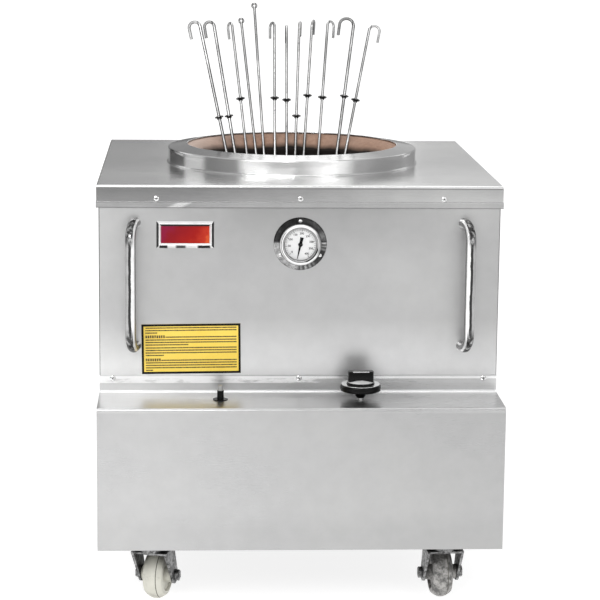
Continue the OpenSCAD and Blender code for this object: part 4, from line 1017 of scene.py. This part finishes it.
def make_notice(looks):
    """A black border and blank ruled lines, with no words."""
    low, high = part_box("notice_plate")
    tilt = radians(0.7)
    mid = (low + high) / 2
    w, h = 0.201, 0.103
    turn = Matrix.Rotation(-tilt, 4, "Y") @ Matrix(((1, 0, 0), (0, 0, -1), (0, 1, 0))).to_4x4()
    place = Matrix.Translation((mid.x, low.y, mid.z)) @ turn
    edge = 0.0045
    sides = []
    for x0, x1, y0, y1 in ((-w / 2, w / 2, h / 2 - edge, h / 2), (-w / 2, w / 2, -h / 2, edge - h / 2),
                           (-w / 2, edge - w / 2, edge - h / 2, h / 2 - edge),
                           (w / 2 - edge, w / 2, edge - h / 2, h / 2 - edge)):
        sides.append(prism("side", [(x0, y0), (x1, y0), (x1, y1), (x0, y1)], 0.0, 0.00015, place))
    finish_piece(joined("notice_border", sides), looks["ink_and_shade"], "oven")

    left, right, top, pitch = -w / 2 + 0.008, w / 2 - 0.008, h / 2 - 0.0078, 0.00515
    rows = [(0, 0, 1), (1, 0, 1), (2, 0, 0.13), (3.7, 0.22, 1), (4.8, 0, 1), (5.8, 0, 1), (6.8, 0, 0.47),
            (8, 0, 1), (9, 0, 1), (10, 0, 1), (11, 0, 0.2), (13, 0.17, 1), (14, 0, 1), (15, 0, 1),
            (16, 0, 1), (17, 0, 0.08)]
    lines = []
    for row, first, last in rows:
        x0, x1, y = left + (right - left) * first, left + (right - left) * last, top - row * pitch
        lines.append(prism("line", [(x0, y - 0.0012), (x1, y - 0.0012), (x1, y + 0.0012), (x0, y + 0.0012)],
                           0.0, 0.0001, place))
    finish_piece(joined("notice_lines", lines), looks["lines"], "oven")

    blocks = []
    for row, reach in ((3.5, 0.2), (12.8, 0.15)):
        x, y = left, top - row * pitch
        while x < left + (right - left) * reach:
            blocks.append(prism("block", [(x, y - 0.003), (x + 0.0034, y - 0.003), (x + 0.0034, y + 0.0028),
                                          (x, y + 0.0028)], 0.0, 0.0001, place))
            x += 0.0045
    finish_piece(joined("notice_headings", blocks), looks["lines"], "oven")


# Skewers' stop discs


def make_stops(looks):
    """Black stop discs that sleeve each hooked skewer where its joint's axis meets the disc."""
    for joint in frame["joints"]:
        if not joint["name"].startswith("lift_skewer"):
            continue
        name = joint["child"]
        axis = Vector(joint["axis"]).normalized()
        found = stop_height(name, axis)
        if found is None:
            continue
        centre, disc_r, rod = found
        turn = axis.to_track_quat("Z", "Y").to_matrix().to_4x4()
        place = Matrix.Translation(centre) @ turn
        skin = 0.00025
        profile = [(rod, -0.0044), (rod + 0.0015, -0.0044), (0.0059, -0.0004), (disc_r - 0.0008, -0.0004),
                   (disc_r + skin, 0.0001), (disc_r + skin, 0.0018), (disc_r - 0.0008, 0.0023), (rod, 0.0023)]
        stop = lathe("stop_of_" + name, profile, place, 48)
        finish_piece(stop, looks["stop_disc"], name)


def stop_height(name, axis):
    """Centre of the disc's lower face, the disc's and the sleeve's radius, or None without a disc."""
    points = [v.co for v in NODES[name].data.vertices]
    foot, r = rod_foot(points, axis)
    low = foot.dot(axis)
    wide = []
    for p in points:
        rise = p.dot(axis) - low
        off = (p - foot) - axis * rise
        if 0.5 < rise < 0.7 and off.length > 0.008:
            wide.append((rise, off.length))
    if not wide:
        return None
    base = min(rise for rise, _ in wide)
    return foot + axis * base, max(out for _, out in wide) - 0.0004, r


# Screws' cross recesses


def screw_places():
    """Where each cabinet screw's head rests, and the way that it faces."""
    places = []
    skirt_z = COVER_HIGH.z - 0.027
    skirt_out = COVER_HIGH.x - 0.0008
    flange_z, flange_out = 0.457, CABINET_HALF + 0.0015
    ahead = Vector((0, -1, 0))
    for side in range(4):
        spin = Matrix.Rotation(side * pi / 2, 4, "Z")
        for x in (-0.29, 0.0, 0.29):
            places.append((Vector((0, AXIS.y, skirt_z)) + spin @ Vector((x, -skirt_out, 0)), spin @ ahead))
    for x in (-0.379, 0.0, 0.379):
        places.append((Vector((x, AXIS.y - flange_out, flange_z)), ahead))
    return places


def make_recesses(looks):
    """A small black cross sunk in the middle of each screw head's dome, a painted shadow of the cross recess.
    """
    crosses = []
    dome, sunk, arm, half = 0.0024, 0.00035, 0.0028, 0.00055
    for at, out in screw_places():
        turn = out.to_track_quat("Z", "Y").to_matrix().to_4x4()
        driven = Matrix.Rotation(0.4 + 7 * at.x, 4, "Z")
        place = Matrix.Translation(at + out * (dome - sunk)) @ turn @ driven
        outline = [(half, half), (arm, half), (arm, -half), (half, -half), (half, -arm), (-half, -arm),
                   (-half, -half), (-arm, -half), (-arm, half), (-half, half), (-half, arm), (half, arm)]
        crosses.append(prism("cross", outline[::-1], 0.0, 0.0004, place))
    # the black crosses are painted shade of the recesses
    finish_piece(joined("screw_recess_shade", crosses), looks["ink_and_shade"], "oven")


# Casters


def make_wheel_seams(looks):
    """A moulded seam round each tread."""
    for joint in frame["joints"]:
        if not joint["name"].startswith("roll_"):
            continue
        body = joint["child"]
        axis = Vector(joint["axis"]).normalized()
        turn = axis.to_track_quat("Z", "Y").to_matrix().to_4x4()
        place = Matrix.Translation(Vector(joint["pos_m"])) @ turn
        seam_x, tread = 0.0095, 0.0489
        seam = lathe("seam_of_" + body, [
            (tread - 0.0006, seam_x - 0.0009), (tread + 0.0004, seam_x - 0.0005),
            (tread + 0.0001, seam_x + 0.0005), (tread - 0.0006, seam_x + 0.0009)], place)
        finish_piece(seam, looks["groove"], body)


def main():
    """Builds the scene."""
    looks = make_materials()
    add_camera()
    add_studio()
    dress_frame(looks)
    make_knob(looks)
    make_dial(looks)
    make_notice(looks)
    make_stops(looks)
    make_recesses(looks)
    make_wheel_seams(looks)


main()
